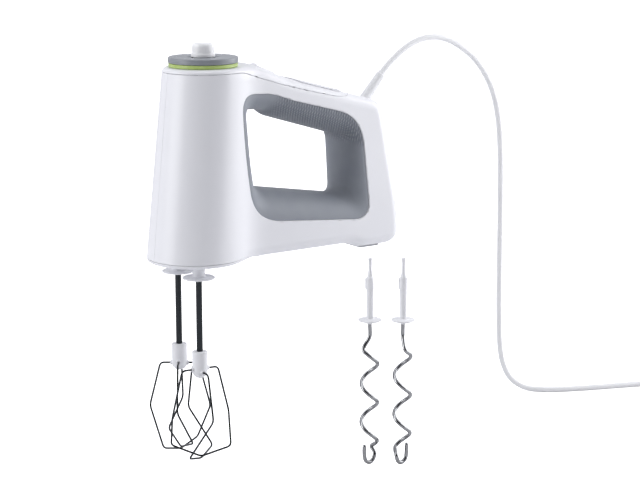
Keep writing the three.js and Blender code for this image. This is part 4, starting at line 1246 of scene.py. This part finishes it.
def build_spring():
    """Coil under the release button, drawn at one length; on the mixer it shortens as the button goes down.
    """
    count = SPRING_TURNS * 24
    line = []
    for k in range(count + 1):
        share = k / count
        angle = 2 * math.pi * SPRING_TURNS * share
        rise = smooth_step(0.08, 0.92, share) * 0.2 + 0.8 * np.clip((share - 0.1) / 0.8, 0, 1)
        line.append((SPRING_RADIUS * math.cos(angle), SPRING_RADIUS * math.sin(angle),
                     SPRING_LOW + (SPRING_HIGH - SPRING_LOW) * rise))
    spring = outward(sweep("button_return_spring", line, SPRING_WIRE, 10, True))
    soften_corners(spring, 60)
    shown(spring, "housing", "steel", "eject_spring")
    paint(STEEL, spring)
    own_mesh(spring)


build_controls()
build_turbo()
build_spring()
build_foot_and_wells()


# ---------- beaters ----------

SHAFT_RADIUS = 2.5
SHAFT_LOW, SHAFT_HIGH = -86.5, 29.6
HUB_LOW, HUB_HIGH, HUB_RADIUS = -92.0, -70.5, 6.2
WIRE_RADIUS = 0.8
STUB_Z = -85.0
STUB_REACH = 15.5
KINK_RADIUS, KINK_DROP = 24.6, 37.5
WIRE_LOOPS = [
    {"start": 0, "stub": -85, "radius": 24, "low": -63.6, "end": -72.7, "twist": 30},
    {"start": 90, "stub": -86.6, "radius": 20, "low": -69, "end": -74.2, "twist": 52},
]
BEATERS = [("left", 1, 53, -1), ("right", -1, -8, 1)]


def polar(radius, degrees, z):
    angle = math.radians(degrees)
    return np.array([radius * math.cos(angle), radius * math.sin(angle), z])


def wire_line(loop, start, turn):
    """One bent wire: down one side, across the axis at the bottom and up the other side."""
    def half(angle):
        at = start + turn * loop["start"] + angle
        return [
            polar(2.8, at, loop["stub"]), polar(STUB_REACH, at, loop["stub"]),
            polar(KINK_RADIUS, at, STUB_Z - KINK_DROP),
            polar(loop["radius"], at - turn * loop["twist"], STUB_Z + loop["low"]),
        ]
    corners = half(0) + [np.array([0, 0, STUB_Z + loop["end"]])] + half(180)[::-1]
    return rounded(corners, 3.2, 7)


def build_beater(side, across, start, turn):
    body = f"{side}_beater"
    centre = (TOOL_X, across * TOOL_Y, 0)
    sleeve = lathe(f"{side}_beater_collar", rounded([
        (2.8, 1.6), (5, 1.6), (5, -9.4), (6.2, -10.2), (11.9, -9.9), (13.2, -10.6),
        (12.5, -11.5), (4.4, -12), (3.9, -13.4), (2.8, -13.4)],
        [0.2, 0.5, 1.0, 1.2, 0.5, 0.5, 0.6, 0.5, 0.4, 0.2], 4, True),
        80, centre, 50, True)
    shaft = lathe(f"{side}_beater_rod", rounded([
        (0, SHAFT_LOW), (SHAFT_RADIUS, SHAFT_LOW), (SHAFT_RADIUS, SHAFT_HIGH), (0, SHAFT_HIGH)],
        0.5, 4), 48, centre)
    hub = lathe(f"{side}_beater_boss", rounded([
        (0, HUB_LOW - 0.4), (2.8, HUB_LOW), (5.2, HUB_LOW + 1.8), (HUB_RADIUS, HUB_LOW + 4.5),
        (HUB_RADIUS, HUB_HIGH), (0, HUB_HIGH)], [0, 0.8, 1.2, 1.5, 0.7, 0], 5), 64, centre, 50)
    shown(sleeve, body, "white_plastic", f"{side}_beater_sleeve")
    shown(shaft, body, "chrome", f"{side}_beater_shaft")
    shown(hub, body, "white_plastic", f"{side}_beater_hub")
    paint(TOOL_WHITE, sleeve, hub)
    paint(SHADED_CHROME, shaft)
    for number, loop in enumerate(WIRE_LOOPS, 1):
        line = resample(wire_line(loop, start, turn), 0.9)
        wire = outward(sweep(f"{side}_beater_loop_{number}", line, WIRE_RADIUS, 14, True, centre))
        soften_corners(wire, 50)
        shown(wire, body, "chrome", f"{side}_beater_wire_{number}")
        paint(SHADED_CHROME, wire)
        for angle in (0, 180):
            at = start + turn * loop["start"] + angle
            collar = lathe(f"{side}_wire_socket_{number}_{angle}", rounded([
                (WIRE_RADIUS, 5.2), (2.1, 5.2), (1.9, 7.5), (WIRE_RADIUS, 7.5)],
                [0.1, 0.2, 0.4, 0.1], 3, True),
                28, np.array(centre) + [0, 0, loop["stub"]], axis=polar(1, at, 0), closed=True)
            shown(collar, body, "white_plastic")
            paint(TOOL_WHITE, collar)


for facts in BEATERS:
    build_beater(*facts)


# ---------- dough hooks ----------

FLOOR_Z = -164.5
HOOK_DISC = -45.2
HOOK_ROD = 1.6
HOOKS = [("left", (92.8, -94.3), 1, 0), ("right", (114.0, -109.7), -1, 3)]


def hook_line(turn, late):
    line = [(0, 0, -44), (0, 0, -49.8), (0, 0, -58.6)]
    for i in range(27):
        angle = turn * 2 * math.pi * (i - late) / 10
        line.append((-turn * 6.4 * math.cos(angle), -6.4 * math.sin(angle), -68.6 - 3.18 * i))
    low = FLOOR_Z + HOOK_ROD
    line += [
        (turn * 5.6, 0, low + 7), (turn * 3.6, 0, low + 1.4), (turn * 0.2, 0, low),
        (-turn * 3.6, 0, low + 2.4), (-turn * 4.8, 0, low + 8), (-turn * 4.8, 0, low + 14)]
    return resample(catmull(line, 10), 1.0)


def build_hook(side, spot, turn, late):
    body = f"{side}_hook"
    centre = (*spot, 0)
    sleeve = lathe(f"{side}_hook_holder", rounded([
        (0, 5.2), (1.2, 5.2), (2, 4.2), (1.4, 3.6), (1.4, -4.2), (2.2, -9.8), (3.1, -11),
        (3.1, -20), (2.9, -21),
        (2.9, HOOK_DISC + 1.2), (9, HOOK_DISC + 0.8), (9.6, HOOK_DISC), (9, HOOK_DISC - 0.6),
        (2.6, HOOK_DISC - 1), (2.4, HOOK_DISC - 3), (0, HOOK_DISC - 3)],
        [0, 0.4, 0.3, 0.3, 1.0, 0.5, 0.4, 0.4, 0.4, 0.8, 0.3, 0.4, 0.3, 0.3, 0.4, 0], 4),
        64, centre, 50)
    left = np.array([-math.cos(VIEW_AZIMUTH), -math.sin(VIEW_AZIMUTH), 0]) * 3.2
    key = outward(sweep(f"{side}_hook_key", [left + [0, 0, z] for z in (-11.5, -14, -17, -19.5)],
                        0.75, 12, True, centre))
    rod = outward(sweep(f"{side}_hook_spiral", hook_line(turn, late), HOOK_ROD, 20, True, centre))
    soften_corners(rod, 50)
    shown(sleeve, body, "white_plastic", f"{side}_hook_sleeve")
    shown(rod, body, "chrome", f"{side}_hook_rod")
    shown(key, body, "white_plastic")
    paint(TOOL_WHITE, sleeve, key)
    paint(CHROME, rod)


for facts in HOOKS:
    build_hook(*facts)


# ---------- finishes of the solids that stay ----------

KEPT = [
    (STEEL, "stator_core armature_core motor_shaft left_spindle right_spindle left_ejector_pin"
            " right_ejector_pin shell_screw_1 shell_screw_2 shell_screw_3"),
    (COPPER, "field_coil_rear field_coil_front armature_winding commutator"),
    (BRONZE, "upper_bearing lower_bearing"),
    (NYLON, "gear_plate idler_gear ejector_fork"),
    (DARK, "motor_bracket brush_holder cooling_fan dial_switch turbo_switch"),
    (BOARD, "control_board"),
]
for finish, names in KEPT:
    paint(finish, *[nodes[name] for name in names.split()])


# ---------- floor, background and lights ----------

WORLD_LIGHT = 0.84
WORLD_DARK = 0.03


def add_floor():
    mesh = bpy.data.meshes.new("floor")
    half = 12.0
    mesh.from_pydata([(-half, -half, FLOOR), (half, -half, FLOOR), (half, half, FLOOR),
                      (-half, half, FLOOR)], [], [(0, 1, 2, 3)])
    floor = new_object("floor", mesh)
    pale = node_material("pale_floor", (0.75, 0.75, 0.76), 0.9, tint=(0.74, 0.74, 0.755), cloud=3,
                         grain=200, sockets={"Emission Color": (1, 1, 1, 1)})
    glow = pale.node_tree.nodes.new("ShaderNodeLightPath")
    pale.node_tree.links.new(
        glow.outputs["Is Camera Ray"],
        pale.node_tree.nodes["Principled BSDF"].inputs["Emission Strength"])
    paint(pale, floor)


def add_light(name, turn, up, width, height, power, colour=(1, 1, 1), away=1.7):
    """Soft rectangular light, turned round the grip from the viewer's side, to the right."""
    data = bpy.data.lights.new(name, "AREA")
    data.shape = "RECTANGLE"
    data.size, data.size_y = width, height
    data.energy = power
    data.color = colour
    lamp = new_object(name, data)
    right = Vector((math.cos(VIEW_AZIMUTH), math.sin(VIEW_AZIMUTH), 0))
    near = Vector((math.sin(VIEW_AZIMUTH), -math.cos(VIEW_AZIMUTH), 0))
    angle = math.radians(turn)
    lamp.location = (right * math.sin(angle) + near * math.cos(angle)) * away + Vector((0, 0, up))
    aim = Vector((0, 0, -0.06)) - lamp.location
    lamp.rotation_euler = aim.to_track_quat("-Z", "Y").to_euler()


def add_world():
    """White backdrop that lights less than it shows, least of all from the front."""
    world = bpy.data.worlds.new("studio")
    world.use_nodes = True
    tree = world.node_tree
    dim = tree.nodes["Background"]
    dim.inputs["Color"].default_value = (0.94, 0.945, 1.0, 1)
    where = tree.nodes.new("ShaderNodeTexCoord")
    facing = tree.nodes.new("ShaderNodeVectorMath")
    facing.operation = "DOT_PRODUCT"
    facing.inputs[1].default_value = (
        math.sin(VIEW_AZIMUTH), -math.cos(VIEW_AZIMUTH), 0.1)
    tree.links.new(where.outputs["Generated"], facing.inputs[0])
    shade = tree.nodes.new("ShaderNodeMapRange")
    shade.interpolation_type = "SMOOTHSTEP"
    for socket, value in (("From Min", 0.25), ("From Max", 0.8), ("To Min", WORLD_LIGHT),
                          ("To Max", WORLD_DARK)):
        shade.inputs[socket].default_value = value
    tree.links.new(facing.outputs["Value"], shade.inputs["Value"])
    tree.links.new(shade.outputs["Result"], dim.inputs["Strength"])
    bright = tree.nodes.new("ShaderNodeBackground")
    bright.inputs["Strength"].default_value = 1.0
    bright.inputs["Color"].default_value = (1, 1, 1, 1)
    path = tree.nodes.new("ShaderNodeLightPath")
    choose = tree.nodes.new("ShaderNodeMixShader")
    tree.links.new(path.outputs["Is Camera Ray"], choose.inputs["Fac"])
    tree.links.new(dim.outputs[0], choose.inputs[1])
    tree.links.new(bright.outputs[0], choose.inputs[2])
    tree.links.new(choose.outputs[0], tree.nodes["World Output"].inputs["Surface"])
    bpy.context.scene.world = world
    bpy.context.scene.view_settings.view_transform = "Standard"


add_floor()
add_world()
add_light("key_light", -64, 0.35, 1.0, 1.8, 16)
add_light("fill_light", 112, 0.3, 0.9, 1.8, 17)
add_light("top_light", -20, 1.6, 0.8, 0.6, 4.5, away=0.3)
add_light("handle_light", 74, 0.05, 0.3, 0.5, 0.85, away=0.6)
